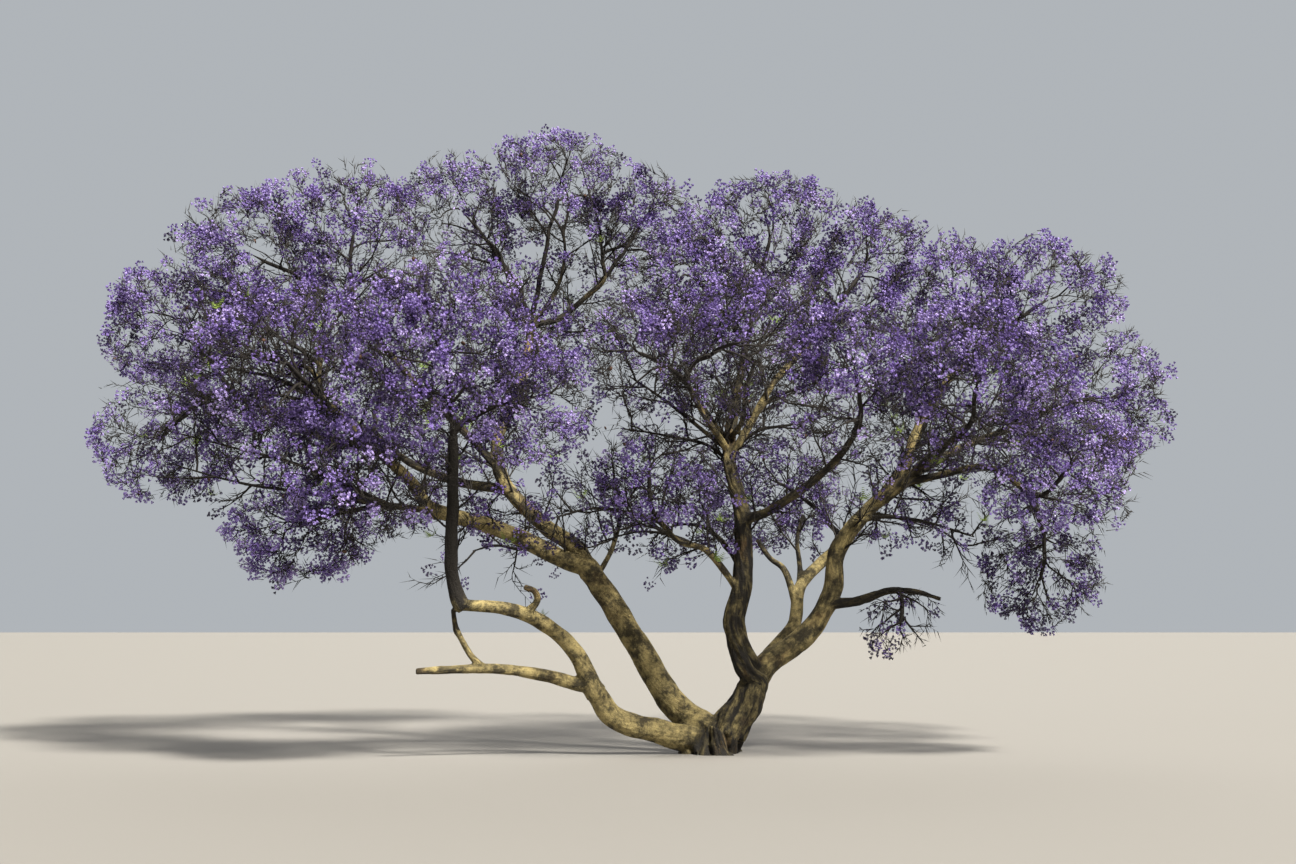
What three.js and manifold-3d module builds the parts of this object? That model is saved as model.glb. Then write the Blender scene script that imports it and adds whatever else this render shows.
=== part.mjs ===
// A jacaranda tree in full bloom, at its real size, in millimetres with Z up.
// Several stems leave one short flared trunk, which is cut flat at the ground with the origin in
// the cut. X runs to the right as the tree is mostly seen, and Y away from the viewer.
// Limbs are tapering tubes. Each mass of blossom is one stem whose twigs branch by a seeded rule,
// and each flat diamond on a twig's end stands for a spray of flowers.
import * as THREE from "three";
import { mergeVertices } from "three/addons/utils/BufferGeometryUtils.js";
import Module from "manifold-3d";

const wasm = await Module();
wasm.setup();

// Joints and facets
const GAP = 0.45; // open line between two solids that meet
const WELD = 0.001; // corners of a mesh that are closer than this are one
const STOUT = 100; // a limb thicker than this at its foot has more sides
const STOUT_SIDES = 8;
const LIMB_SIDES = 6;
const LIMB_STEP = 460; // length of one straight facet along a limb
const STEM_SIDES = 4;
const TWIG_SIDES = 3;
const TWIG_STEP = 800;

// The trunk and its root flare
const TRUNK_SIDES = 16;
const TRUNK_STEPS = 7;
const TRUNK_DEPTH = 160; // how far the trunk's axis starts under the cut
const TRUNK_RADII = [250, 200]; // without the flare, at the bottom and the top
const FLARE = 0.62; // growth of the radius at the ground
const FLARE_RISE = 0.2; // share of the trunk's length in which the flare fades
const FLARE_POWER = 1.5; // the flare's own fade over the lobes'
const ROOT_LOBES = 5;
const LOBE_DEPTH = 0.16;

// A limb follows its parent's heading for this many of the parent's radii before it turns off, and is
// thicker there by the collar's share, which fades within two of its own radii.
const LIMB_LEAD = 0.9;
const COLLAR = 0.22;

// Masses of blossom: flattened balls that share their borders
const FLATTEN = 0.86; // height of a mass over its width
const BORDER = 14; // clear width on each side of a shared border
const LOWEST_SPRAY = 900;

// The twig rule. Lengths of sprays are shares of the mass's reach, so that all masses fill alike.
const TWIG_SPACING = 260; // a mass has as many twigs as this goes into its reach
const SEED_STEP = 977; // between the random seeds of two masses
const GOLDEN_ANGLE = Math.PI * (3 - Math.sqrt(5));
const DIRECTIONS = 24; // evenly spread directions from which a mass takes the most open ones
const DIRECTION_GAP = 0.8; // least angle between two twig sites, in radians
const LEAST_DEPTH = 0.2; // a site is at least this far from the middle, in reaches
const MARCH = 0.05; // step by which the open way is measured, in reaches
const CHANCE = 0.1; // how much of a site's openness is left to chance
const SPRAY_LENGTH = 0.68;
const SPRAY_WIDTH = 0.58;
const SPRAY_THICKNESS = 0.2;
const SPRAY_ROOM = 0.95; // share of a spray's length kept free past its twig's end
const BELLY = 0.6; // where along a spray it is widest
const SPRAY_SINK = 40; // how far the root of a spray at a twig's end is sunk back into the twig
const HEADING_PULL = 0.25; // how much a spray follows its twig against the way outward
// A spray's stand on its twig: how far along, and how much it leans out.
const TIP_STAND = { share: 1, lean: 0 };
const SIDE_STANDS = [{ share: 0.76, lean: 0.8 }, { share: 0.5, lean: 0.9 }];
const TURNS = 6; // ways in which a spray is turned to find room
const SHRINK = 0.9; // a site that leaves its space is drawn in by this, up to DRAWS times
const SPRAY_SHRINK = 0.94; // and its sprays shrink by this each time
const DRAWS = 8;
const HUB_PAST = 0.12; // how far past the centre a mass's stem ends, in reaches
const STEM_JOINTS = [0.3, 0.45, 0.6, 0.75, 0.9];
const TWIG_JOINTS = [0.3];
const BALANCE = 0.35; // weight of the way back to the bough against the length of a new twig
const TURN_COST = 0.5; // cost of a sharp turn, in twig lengths
const LEAD = 0.38; // how long a twig follows the heading of what it leaves
const TWIG_RADIUS = 10; // at a twig's end
const FORK_SHARE = 0.55; // a twig's radius over that of what it leaves
const STEM_TIP_RADIUS = 18;
const STEM_RADIUS = 38; // thickest foot of a mass's stem
const STEM_SHARE = 0.9; // most of its bough's radius that the foot may have
const CLEARANCE = 20; // between a twig and any limb
const SPRAY_GAP = 8; // between a spray and another spray or any wood but its own twig
const CHECKS = [0.3, 0.45, 0.6, 0.75, 0.9, 1]; // where along a twig its clearance is tested
const NEARBY = 2; // wood is tested within this many reaches of a mass's middle

// The block of ground that cuts the trunk flat
const GROUND_SPAN = 20000;
const GROUND_DEPTH = 2000;

// Colours of the finished surfaces
const BARK = new THREE.MeshStandardMaterial({ color: 0x9a8a6a, roughness: 0.9, metalness: 0 });
const BLOSSOM = new THREE.MeshStandardMaterial({ color: 0x7a62b4, roughness: 0.7, metalness: 0 });

// Every limb: what it leaves and how far along, the points it passes, and its radius at both ends
const LIMBS = {
  // the low stem on the left, which lies down, forks and rises again
  low_left_stem: {
    from: "trunk", at: 0.25,
    through: [[-660, -190, 275], [-1250, -390, 470], [-1460, -500, 770]],
    radii: [165, 122],
  },
  low_left_rise: {
    from: "low_left_stem", at: 1,
    through: [[-1700, -600, 1260], [-2070, -800, 1610], [-2470, -1000, 1790], [-3100, -1280, 1850]],
    radii: [112, 66],
  },
  left_shoot: {
    from: "low_left_rise", at: 0.97,
    through: [[-3170, -1350, 2260], [-3150, -1500, 3090], [-3130, -1750, 3850]],
    radii: [66, 42],
  },
  low_left_runner: {
    from: "low_left_stem", at: 1,
    through: [[-1680, -550, 880], [-2120, -700, 1000], [-2660, -900, 1080], [-3600, -1200, 1060]],
    radii: [64, 22],
  },
  runner_riser: {
    from: "low_left_runner", at: 0.62,
    through: [[-2960, -1010, 1240], [-3120, -1080, 1520]],
    radii: [44, 36],
  },
  // the tall leaning stem, its long arch to the left, and the limb that climbs to the rear top
  left_stem: {
    from: "trunk", at: 0.22,
    through: [[-460, 150, 580], [-900, 250, 1250], [-1290, 350, 1890], [-1560, 400, 2280]],
    radii: [178, 138],
  },
  left_arch: {
    from: "left_stem", at: 1,
    through: [[-1860, 350, 2430], [-2500, 200, 2740], [-3070, 0, 2930], [-3500, -250, 3040]],
    radii: [108, 76],
  },
  left_front_limb: {
    from: "left_arch", at: 1,
    through: [[-3840, -650, 3450], [-4320, -900, 3880], [-4700, -1250, 4250]],
    radii: [66, 44],
  },
  left_low_limb: {
    from: "left_arch", at: 0.97,
    through: [[-3800, -750, 3050], [-4100, -1350, 3060]],
    radii: [52, 38],
  },
  left_far_limb: {
    from: "left_front_limb", at: 0.55,
    through: [[-5000, -650, 3980], [-5800, -150, 4350], [-6250, 150, 4650]],
    radii: [56, 38],
  },
  left_crown_limb: {
    from: "left_stem", at: 1,
    through: [[-1740, 500, 2580], [-2180, 700, 2900], [-2790, 1100, 3570], [-2880, 1250, 4100],
      [-2600, 1900, 5050], [-2500, 2200, 5850]],
    radii: [112, 56],
  },
  rear_right_limb: {
    from: "left_crown_limb", at: 1,
    through: [[-2100, 2350, 6020], [-1700, 2350, 6350]],
    radii: [48, 38],
  },
  left_back_limb: {
    from: "left_crown_limb", at: 0.36,
    through: [[-3400, 1550, 3560], [-4150, 2000, 3860], [-4800, 2450, 4350]],
    radii: [72, 44],
  },
  left_top_limb: {
    from: "left_crown_limb", at: 0.44,
    through: [[-3450, 1150, 4350], [-4150, 1000, 5050], [-4650, 850, 5650]],
    radii: [58, 40],
  },
  // the stem in the middle, with its leaders and side limbs
  centre_stem: {
    from: "trunk", at: 1,
    through: [[430, -80, 1100], [270, -100, 1590], [370, -100, 2050], [400, -100, 2530], [380, -100, 3020],
      [220, -100, 3750], [360, 250, 4650], [500, 400, 5400]],
    radii: [160, 42],
  },
  centre_left_limb: {
    from: "centre_stem", at: 0.64,
    through: [[-120, -550, 4250], [-330, -950, 4560]],
    radii: [46, 34],
  },
  centre_right_limb: {
    from: "centre_stem", at: 0.61,
    through: [[510, -200, 4200], [800, -250, 4700], [1250, -100, 5200]],
    radii: [56, 38],
  },
  centre_arm: {
    from: "centre_stem", at: 0.25,
    through: [[-90, -400, 2540], [-450, -750, 2640], [-700, -850, 2900]],
    radii: [48, 32],
  },
  cross_limb: {
    from: "centre_stem", at: 0.46,
    through: [[690, -300, 3030], [1140, -600, 3320], [1460, -900, 3590], [1650, -1400, 3850]],
    radii: [64, 40],
  },
  // the stem that leans right, and the limbs of the right side
  right_stem: {
    from: "trunk", at: 0.97,
    through: [[730, 190, 1130], [1230, 300, 1490], [1560, 300, 2020], [1640, 300, 2560], [2040, 200, 3090],
      [2480, 0, 3440]],
    radii: [152, 84],
  },
  right_high_limb: {
    from: "right_stem", at: 1,
    through: [[2800, -400, 3760], [3000, -1150, 3900]],
    radii: [62, 44],
  },
  right_arch_limb: {
    from: "right_stem", at: 0.95,
    through: [[2900, -350, 3500], [3450, -650, 3560], [3900, -750, 3200], [4050, -720, 2850]],
    radii: [54, 32],
  },
  right_side_limb: {
    from: "right_stem", at: 1,
    through: [[3200, 100, 3870], [3900, 200, 4150], [4300, 220, 4350]],
    radii: [58, 40],
  },
  right_top_limb: {
    from: "right_stem", at: 0.97,
    through: [[2620, 120, 4000], [2950, 250, 4600], [3350, 300, 5050]],
    radii: [62, 42],
  },
  right_inner_limb: {
    from: "trunk", at: 0.9,
    through: [[760, 420, 1230], [1090, 620, 1590], [1210, 850, 2110], [1800, 1350, 2700], [2600, 1900, 3600],
      [3100, 2400, 4350]],
    radii: [98, 44],
  },
  right_low_limb: {
    from: "right_stem", at: 0.42,
    through: [[1900, 60, 1920], [2250, -100, 2040], [2610, -300, 2010], [2850, -400, 1930]],
    radii: [76, 26],
  },
};

// Every mass of blossom: the limb that carries it and where, the middle of its ball and its radius
const MASSES = {
  left_tip_low: { from: "left_far_limb", at: 1, centre: [-7120, 200, 4000], reach: 1080 },
  left_tip_high: { from: "left_far_limb", at: 0.93, centre: [-6960, 600, 5550], reach: 1270 },
  left_shoulder: { from: "left_top_limb", at: 0.92, centre: [-6020, 400, 6450], reach: 1250 },
  left_top: { from: "left_top_limb", at: 1, centre: [-4800, 800, 6880], reach: 1270 },
  left_front: { from: "left_front_limb", at: 1, centre: [-5020, -2000, 4640], reach: 1350 },
  left_billow: { from: "left_shoot", at: 1, centre: [-3190, -2600, 4720], reach: 1520 },
  left_low_front: { from: "left_low_limb", at: 1, centre: [-4120, -2300, 3320], reach: 1200 },
  left_skirt: { from: "left_low_limb", at: 0.85, centre: [-5030, -1200, 2800], reach: 980 },
  left_inner: { from: "left_shoot", at: 0.95, centre: [-2180, -1500, 4300], reach: 1050 },
  left_far_back: { from: "left_back_limb", at: 1, centre: [-6500, 3000, 5300], reach: 1650 },
  left_back: { from: "left_back_limb", at: 0.93, centre: [-4400, 3600, 5600], reach: 1550 },
  rear_top_left: { from: "left_crown_limb", at: 0.97, centre: [-3480, 2200, 7470], reach: 1180 },
  rear_top: { from: "left_crown_limb", at: 1, centre: [-2130, 2200, 7800], reach: 1220 },
  rear_right: { from: "rear_right_limb", at: 1, centre: [-970, 2300, 7360], reach: 1080 },
  rear_back: { from: "left_crown_limb", at: 0.8, centre: [-2100, 4300, 6300], reach: 1500 },
  centre_top: { from: "centre_stem", at: 1, centre: [790, 200, 6650], reach: 1150 },
  centre_shoulder: { from: "centre_stem", at: 0.93, centre: [-220, -400, 5950], reach: 1080 },
  centre_right_top: { from: "centre_right_limb", at: 1, centre: [1950, 200, 6180], reach: 1170 },
  centre_front_left: { from: "centre_left_limb", at: 1, centre: [-920, -1600, 4830], reach: 1050 },
  centre_front: { from: "centre_left_limb", at: 0.9, centre: [280, -2600, 4780], reach: 1300 },
  centre_front_right: { from: "cross_limb", at: 1, centre: [1550, -2400, 4410], reach: 1250 },
  centre_back: { from: "centre_stem", at: 0.72, centre: [600, 3200, 5600], reach: 1600 },
  centre_low_left: { from: "centre_arm", at: 1, centre: [-780, -900, 3480], reach: 880 },
  centre_low_back: { from: "right_inner_limb", at: 0.5, centre: [950, 3000, 3700], reach: 1300 },
  right_top_left: { from: "right_top_limb", at: 0.93, centre: [3220, 200, 5800], reach: 1150 },
  right_top: { from: "right_top_limb", at: 1, centre: [4450, 500, 5850], reach: 1180 },
  right_edge: { from: "right_side_limb", at: 1, centre: [4960, 200, 4530], reach: 1200 },
  right_front: { from: "right_high_limb", at: 1, centre: [2970, -2200, 4320], reach: 1350 },
  right_front_low: { from: "right_arch_limb", at: 0.8, centre: [4150, -1500, 3450], reach: 1100 },
  right_skirt: { from: "right_arch_limb", at: 1, centre: [4050, -600, 2230], reach: 930 },
  right_hanging: { from: "right_low_limb", at: 0.62, centre: [2330, -330, 1640], reach: 640 },
  right_back: { from: "right_inner_limb", at: 1, centre: [3700, 3200, 5200], reach: 1650 },
  right_far_back: { from: "right_inner_limb", at: 0.9, centre: [4900, 2300, 4100], reach: 1350 },
};

const UP = new THREE.Vector3(0, 0, 1);
const vector = (place) => new THREE.Vector3(...place);
const mix = (a, b, share) => a + (b - a) * share;

// A repeatable run of numbers from 0 to 1, each from the last by a product and a remainder.
const RANDOM_FACTOR = 16807;
const RANDOM_MODULUS = 2 ** 31 - 1;

function seeded(seed) {
  let state = seed;
  return () => {
    state = (state * RANDOM_FACTOR) % RANDOM_MODULUS;
    return state / RANDOM_MODULUS;
  };
}

// Closed mesh to solid.
function toSolid(geometry) {
  const bare = geometry.clone();
  bare.deleteAttribute("normal");
  bare.deleteAttribute("uv");
  const merged = mergeVertices(bare, WELD);
  return new wasm.Manifold(new wasm.Mesh({
    numProp: 3,
    vertProperties: merged.attributes.position.array,
    triVerts: new Uint32Array(merged.index.array),
  }));
}

function toGeometry(solid) {
  const mesh = solid.getMesh();
  const geometry = new THREE.BufferGeometry();
  geometry.setAttribute("position", new THREE.BufferAttribute(mesh.vertProperties, 3));
  geometry.setIndex(new THREE.BufferAttribute(mesh.triVerts, 1));
  geometry.computeVertexNormals();
  return geometry;
}

// The largest piece of a solid: loose scraps are dropped and sealed hollows filled.
function largestPiece(solid) {
  const pieces = solid.decompose().sort((a, b) => b.volume() - a.volume());
  return pieces[0];
}

// The frames of a tube's rings: each ring is square to the line between its neighbours, and its
// normal is carried on from the ring before.
function ringFrames(centres) {
  const frames = [];
  let normal = new THREE.Vector3(1, 0, 0);
  let last = null;
  for (let i = 0; i < centres.length; i++) {
    const before = centres[Math.max(i - 1, 0)];
    const after = centres[Math.min(i + 1, centres.length - 1)];
    const tangent = after.clone().sub(before).normalize();
    if (last) normal.applyQuaternion(new THREE.Quaternion().setFromUnitVectors(last, tangent));
    normal = normal.clone().addScaledVector(tangent, -normal.dot(tangent)).normalize();
    frames.push({ tangent, normal, binormal: new THREE.Vector3().crossVectors(tangent, normal) });
    last = tangent;
  }
  return frames;
}

// A closed tube along a curve. radiusAt takes the share of the length and the angle round the tube.
// swell makes it thicker and longer by that much.
function tube(curve, sides, steps, radiusAt, swell = 0) {
  const geometry = new THREE.CylinderGeometry(1, 1, 1, sides, steps);
  const centres = curve.getSpacedPoints(steps);
  const frames = ringFrames(centres);
  const places = geometry.attributes.position;
  for (let i = 0; i < places.count; i++) {
    const ring = Math.round((places.getY(i) + 0.5) * steps);
    const { tangent, normal, binormal } = frames[ring];
    const x = places.getX(i);
    const z = places.getZ(i);
    const radius = radiusAt(ring / steps, Math.atan2(z, x)) + swell;
    const spot = centres[ring].clone();
    spot.addScaledVector(normal, x * radius).addScaledVector(binormal, -z * radius);
    if (ring === steps) spot.addScaledVector(tangent, swell);
    if (ring === 0) spot.addScaledVector(tangent, -swell);
    places.setXYZ(i, spot.x, spot.y, spot.z);
  }
  return toSolid(geometry);
}

// The trunk, a short leaning column whose root lobes spread at the ground.
function makeTrunk() {
  const axis = [[-70, 0, -TRUNK_DEPTH], [20, 0, 50], [145, 0, 240], [280, 20, 430],
    [410, 30, 610], [500, 30, 790]];
  const curve = new THREE.CatmullRomCurve3(axis.map(vector), false, "centripetal");
  const groundShare = TRUNK_DEPTH / curve.getLength();
  const radiusAt = (share, angle = 0) => {
    const fade = Math.exp(-Math.max(0, share - groundShare) / FLARE_RISE);
    const lobe = 1 + LOBE_DEPTH * fade * Math.cos(ROOT_LOBES * angle);
    return mix(...TRUNK_RADII, share) * (1 + FLARE * fade ** FLARE_POWER) * lobe;
  };
  return { curve, radiusAt, sides: TRUNK_SIDES, steps: TRUNK_STEPS };
}

function makeLimb({ from, at, through, radii }, parents) {
  const parent = parents[from];
  const start = parent.curve.getPointAt(at);
  const heading = parent.curve.getTangentAt(at);
  const onward = vector(through[0]).sub(start).normalize();
  const lead = LIMB_LEAD * parent.radiusAt(at) * Math.max(0, onward.dot(heading));
  const leading = lead > 1 ? [start.clone().addScaledVector(heading, lead)] : [];
  const places = [start, ...leading, ...through.map(vector)];
  const curve = new THREE.CatmullRomCurve3(places, false, "centripetal");
  const length = curve.getLength();
  const radiusAt = (share) => {
    const collar = 1 + COLLAR * Math.exp((-share * length) / (2 * radii[0]));
    return mix(radii[0], radii[1], share) * collar;
  };
  const sides = radii[0] > STOUT ? STOUT_SIDES : LIMB_SIDES;
  return { curve, radiusAt, sides, steps: Math.max(2, Math.round(length / LIMB_STEP)) };
}

const limbSolid = ({ curve, sides, steps, radiusAt }, swell) => (
  tube(curve, sides, steps, radiusAt, swell)
);

// The stem of a mass: from its bough through the middle of its ball, in a bend.
function makeStem({ from, at, centre, reach }, limbs) {
  const bough = limbs[from];
  const start = bough.curve.getPointAt(at);
  const heading = bough.curve.getTangentAt(at);
  const middle = vector(centre);
  const onward = middle.clone().sub(start).normalize();
  const hub = middle.addScaledVector(onward, HUB_PAST * reach);
  const span = hub.distanceTo(start);
  const bend = start.clone().addScaledVector(heading, LEAD * span);
  const curve = new THREE.QuadraticBezierCurve3(start, bend, hub);
  const foot = Math.min(STEM_RADIUS, bough.radiusAt(at) * STEM_SHARE);
  return { curve, length: span, radiusAt: (share) => mix(foot, STEM_TIP_RADIUS, share) };
}

// True if a point lies in a mass's own space, at least margin inside it: within its flattened ball,
// and on its side of the plane in which the ball meets each neighbour's.
function inOwnSpace(point, name, margin) {
  const squash = (p) => new THREE.Vector3(p.x, p.y, p.z / FLATTEN);
  const here = squash(point);
  const { centre, reach } = MASSES[name];
  const own = squash(vector(centre));
  const power = here.distanceToSquared(own) - reach ** 2;
  if (here.distanceTo(own) > reach - margin || point.z < LOWEST_SPRAY) return false;
  return Object.entries(MASSES).every(([otherName, other]) => {
    if (otherName === name) return true;
    const theirs = squash(vector(other.centre));
    const otherPower = here.distanceToSquared(theirs) - other.reach ** 2;
    return otherPower - power > 2 * margin * own.distanceTo(theirs);
  });
}

// Points along limbs and stems, with the radius there, that twigs and sprays keep clear of.
function obstaclesAlong(owner, curve, radiusAt) {
  const count = Math.ceil(curve.getLength() / (2 * CLEARANCE));
  return Array.from({ length: count + 1 }, (_, i) => ({
    owner, place: curve.getPointAt(i / count), radius: radiusAt(i / count),
  }));
}

// How far a mass's own space reaches from its middle along a direction, in millimetres.
function openWay(name, middle, outward) {
  const { reach } = MASSES[name];
  const isOpen = (share) => (
    inOwnSpace(middle.clone().addScaledVector(outward, share * reach), name, BORDER)
  );
  let share = 1;
  while (share > 0 && !isOpen(share)) share -= MARCH;
  return share * reach;
}

// The sites where a mass's twigs may end, in many even directions, the most open ones first.
function twigSites(name, random) {
  const { centre, reach } = MASSES[name];
  const middle = vector(centre);
  const spin = random() * 2 * Math.PI;
  const sites = Array.from({ length: DIRECTIONS }, (_, i) => {
    const height = 1 - (2 * i + 1) / DIRECTIONS;
    const ring = Math.sqrt(1 - height ** 2);
    const turn = spin + i * GOLDEN_ANGLE;
    const outward = new THREE.Vector3(ring * Math.cos(turn), ring * Math.sin(turn), height * FLATTEN);
    const way = openWay(name, middle, outward);
    const depth = Math.max(LEAST_DEPTH * reach, way - SPRAY_ROOM * SPRAY_LENGTH * reach);
    const openness = way * mix(1 - CHANCE, 1, random());
    return { middle, outward, depth, openness, roll: random() * Math.PI };
  });
  return sites.sort((a, b) => b.openness - a.openness);
}

// A spray is a flat diamond of eight faces, with its root at the origin and its tip along Y.
function sprayGeometry(size) {
  const geometry = new THREE.OctahedronGeometry(1, 0);
  const places = geometry.attributes.position;
  for (let i = 0; i < places.count; i++) {
    const [x, y, z] = [places.getX(i), places.getY(i), places.getZ(i)].map(Math.round);
    const along = SPRAY_LENGTH * (y === 0 ? BELLY : (y + 1) / 2);
    places.setXYZ(i, (x * SPRAY_WIDTH * size) / 2, along * size, (z * SPRAY_THICKNESS * size) / 2);
  }
  return geometry;
}

// A spray set with its root at a place and its tip along an axis, turned about it by roll.
function setSpray(root, axis, roll, size) {
  const turn = new THREE.Quaternion().setFromUnitVectors(new THREE.Vector3(0, 1, 0), axis);
  turn.multiply(new THREE.Quaternion().setFromAxisAngle(new THREE.Vector3(0, 1, 0), roll));
  const geometry = sprayGeometry(size).applyQuaternion(turn).translate(root.x, root.y, root.z);
  const places = geometry.attributes.position;
  const corners = Array.from({ length: places.count }, (_, i) => (
    new THREE.Vector3().fromBufferAttribute(places, i)
  ));
  const planes = Array.from({ length: places.count / 3 }, (_, i) => (
    new THREE.Plane().setFromCoplanarPoints(corners[3 * i], corners[3 * i + 1], corners[3 * i + 2])
  ));
  return { geometry, corners, planes };
}

// The foot on the growing mass from which a twig to a place costs least. No foot is used twice.
function bestFoot(joints, place) {
  let best = null;
  let least = Infinity;
  for (const joint of joints) {
    const way = place.clone().sub(joint.place);
    const distance = way.length();
    const turning = 1 - way.dot(joint.heading) / distance;
    const cost = distance * (1 + TURN_COST * turning) + BALANCE * joint.run;
    if (!joint.used && cost < least) [best, least] = [joint, cost];
  }
  return best;
}

// A twig from its foot to a site: it sets out along its parent's heading and bends to the site.
function makeTwig(foot, place) {
  const length = place.distanceTo(foot.place);
  const bend = foot.place.clone().addScaledVector(foot.heading, LEAD * length);
  const curve = new THREE.QuadraticBezierCurve3(foot.place, bend, place);
  const steps = length > TWIG_STEP ? 2 : 1;
  const radiusAt = (share) => mix(foot.radius * FORK_SHARE, TWIG_RADIUS, share);
  return { curve, length, steps, radiusAt };
}

// The places along a wood from which twigs may leave it.
const jointsAlong = ({ curve, radiusAt }, shares, run, length) => shares.map((share) => ({
  place: curve.getPointAt(share),
  heading: curve.getTangentAt(share),
  radius: radiusAt(share),
  run: run + share * length,
}));

// A spray of a twig: it carries the twig's end on, or stands out at its side, as its stand says.
function sprayAt(curve, { share, lean }, outward, roll, size) {
  const heading = curve.getTangentAt(share);
  const ahead = heading.clone().multiplyScalar(HEADING_PULL).add(outward).normalize();
  const side = new THREE.Vector3().crossVectors(ahead, UP).normalize().applyAxisAngle(ahead, roll);
  const axis = ahead.multiplyScalar(1 - lean / 2).addScaledVector(side, lean).normalize();
  const root = curve.getPointAt(share).addScaledVector(heading, lean === 0 ? -SPRAY_SINK : 0);
  return setSpray(root, axis, 2 * roll, size);
}

// True if one of a spray's faces has every given corner beyond it.
const parts = (planes, corners) => planes.some((plane) => (
  corners.every((corner) => plane.distanceToPoint(corner) > SPRAY_GAP)
));

// What a mass may not touch as it grows: foreign limbs and stems, its own wood and its own sprays.
class Surroundings {
  constructor(name, obstacles) {
    const { centre, reach } = MASSES[name];
    this.name = name;
    this.wood = obstacles.filter(({ owner, place }) => (
      owner !== name && place.distanceTo(vector(centre)) < NEARBY * reach
    ));
    this.sprays = [];
  }

  admitsTwig({ curve, radiusAt }) {
    return CHECKS.every((share) => {
      const place = curve.getPointAt(share);
      const width = radiusAt(share);
      return inOwnSpace(place, this.name, BORDER + width)
        && this.wood.every(({ owner, place: other, radius }) => (
          owner === this.name || other.distanceTo(place) > radius + width + CLEARANCE
        ))
        && this.sprays.every(({ planes }) => (
          planes.some((plane) => plane.distanceToPoint(place) > width)
        ));
    });
  }

  admitsSpray({ corners, planes }) {
    return corners.every((corner) => inOwnSpace(corner, this.name, BORDER))
      && this.wood.every(({ place, radius }) => (
        planes.some((plane) => plane.distanceToPoint(place) > radius + SPRAY_GAP)
      ))
      && this.sprays.every((other) => parts(other.planes, corners) || parts(planes, other.corners));
  }
}

// Grows one mass: its stem, twigs and sprays.
function growMass(name, stem, obstacles) {
  const random = seeded(1 + SEED_STEP * Object.keys(MASSES).indexOf(name));
  const { reach } = MASSES[name];
  const around = new Surroundings(name, obstacles);
  const joints = jointsAlong(stem, STEM_JOINTS, 0, stem.length);
  const pieces = [];
  const fitSpray = (wood, stand, outward, roll, size) => {
    for (let turn = 0; turn < TURNS; turn++) {
      const smaller = size * SPRAY_SHRINK ** turn;
      const spray = sprayAt(wood.curve, stand, outward, roll + turn * GOLDEN_ANGLE, smaller);
      if (around.admitsSpray(spray)) return spray;
    }
    return null;
  };
  const addWood = (wood, solid, tip, outward, roll, size) => {
    pieces.push(solid);
    for (const stand of [null, ...SIDE_STANDS]) {
      const spray = stand ? fitSpray(wood, stand, outward, roll, size) : tip;
      if (!spray) continue;
      around.sprays.push(spray);
      pieces.push(toSolid(spray.geometry));
    }
    around.wood.push(...obstaclesAlong(name, wood.curve, wood.radiusAt));
  };
  const forward = stem.curve.getTangentAt(1);
  const end = fitSpray(stem, TIP_STAND, forward, random(), reach);
  addWood(stem, stemSolid(stem, 0), end, forward, random(), reach);
  const taken = [forward];
  for (const { middle, outward, depth, roll } of twigSites(name, random)) {
    if (taken.length > reach / TWIG_SPACING) break;
    if (taken.some((other) => other.angleTo(outward) < DIRECTION_GAP)) continue;
    for (let draw = 0; draw < DRAWS; draw++) {
      const place = middle.clone().addScaledVector(outward, depth * SHRINK ** draw);
      const foot = bestFoot(joints, place);
      const twig = makeTwig(foot, place);
      const size = reach * SPRAY_SHRINK ** draw;
      const tip = around.admitsTwig(twig) && fitSpray(twig, TIP_STAND, outward, roll, size);
      if (!tip) continue;
      const solid = tube(twig.curve, TWIG_SIDES, twig.steps, twig.radiusAt);
      addWood(twig, solid, tip, outward, roll, size);
      foot.used = true;
      taken.push(outward);
      joints.push(...jointsAlong(twig, TWIG_JOINTS, foot.run, twig.length));
      break;
    }
  }
  return pieces;
}

const stemSolid = (stem, swell) => {
  const steps = Math.max(2, Math.round(stem.length / TWIG_STEP));
  return tube(stem.curve, STEM_SIDES, steps, stem.radiusAt, swell);
};

// The ground under the tree, as a block that cuts what would reach below it.
function groundBlock() {
  const block = new THREE.BoxGeometry(GROUND_SPAN, GROUND_SPAN, GROUND_DEPTH);
  block.translate(0, 0, -GROUND_DEPTH / 2);
  return toSolid(block);
}

// All limbs, in the order of the table, each cut clear of those before it.
const limbs = { trunk: makeTrunk() };
for (const [name, limb] of Object.entries(LIMBS)) limbs[name] = makeLimb(limb, limbs);
const ground = groundBlock();
const solids = {};
const swollen = {};
for (const [name, limb] of Object.entries(limbs)) {
  let solid = limbSolid(limb, 0).subtract(ground);
  for (const other of Object.values(swollen)) solid = solid.subtract(other);
  solids[name] = largestPiece(solid);
  swollen[name] = limbSolid(limb, GAP);
}

// All masses of blossom, each one body of stem, twigs and sprays, cut clear of the limbs and of the
// stems before its own.
const stems = {};
for (const [name, mass] of Object.entries(MASSES)) stems[name] = makeStem(mass, limbs);
const obstacles = Object.entries({ ...limbs, ...stems }).flatMap(([name, { curve, radiusAt }]) => (
  obstaclesAlong(name, curve, radiusAt)
));
for (const [name, stem] of Object.entries(stems)) {
  const whole = wasm.Manifold.union(growMass(name, stem, obstacles));
  solids[name] = largestPiece(whole.subtract(wasm.Manifold.union(Object.values(swollen))));
  swollen[name] = stemSolid(stem, GAP);
}

const tree = new THREE.Group();
for (const [name, solid] of Object.entries(solids)) {
  const mesh = new THREE.Mesh(toGeometry(solid), name in MASSES ? BLOSSOM : BARK);
  mesh.name = name;
  tree.add(mesh);
}

export default tree;
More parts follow.
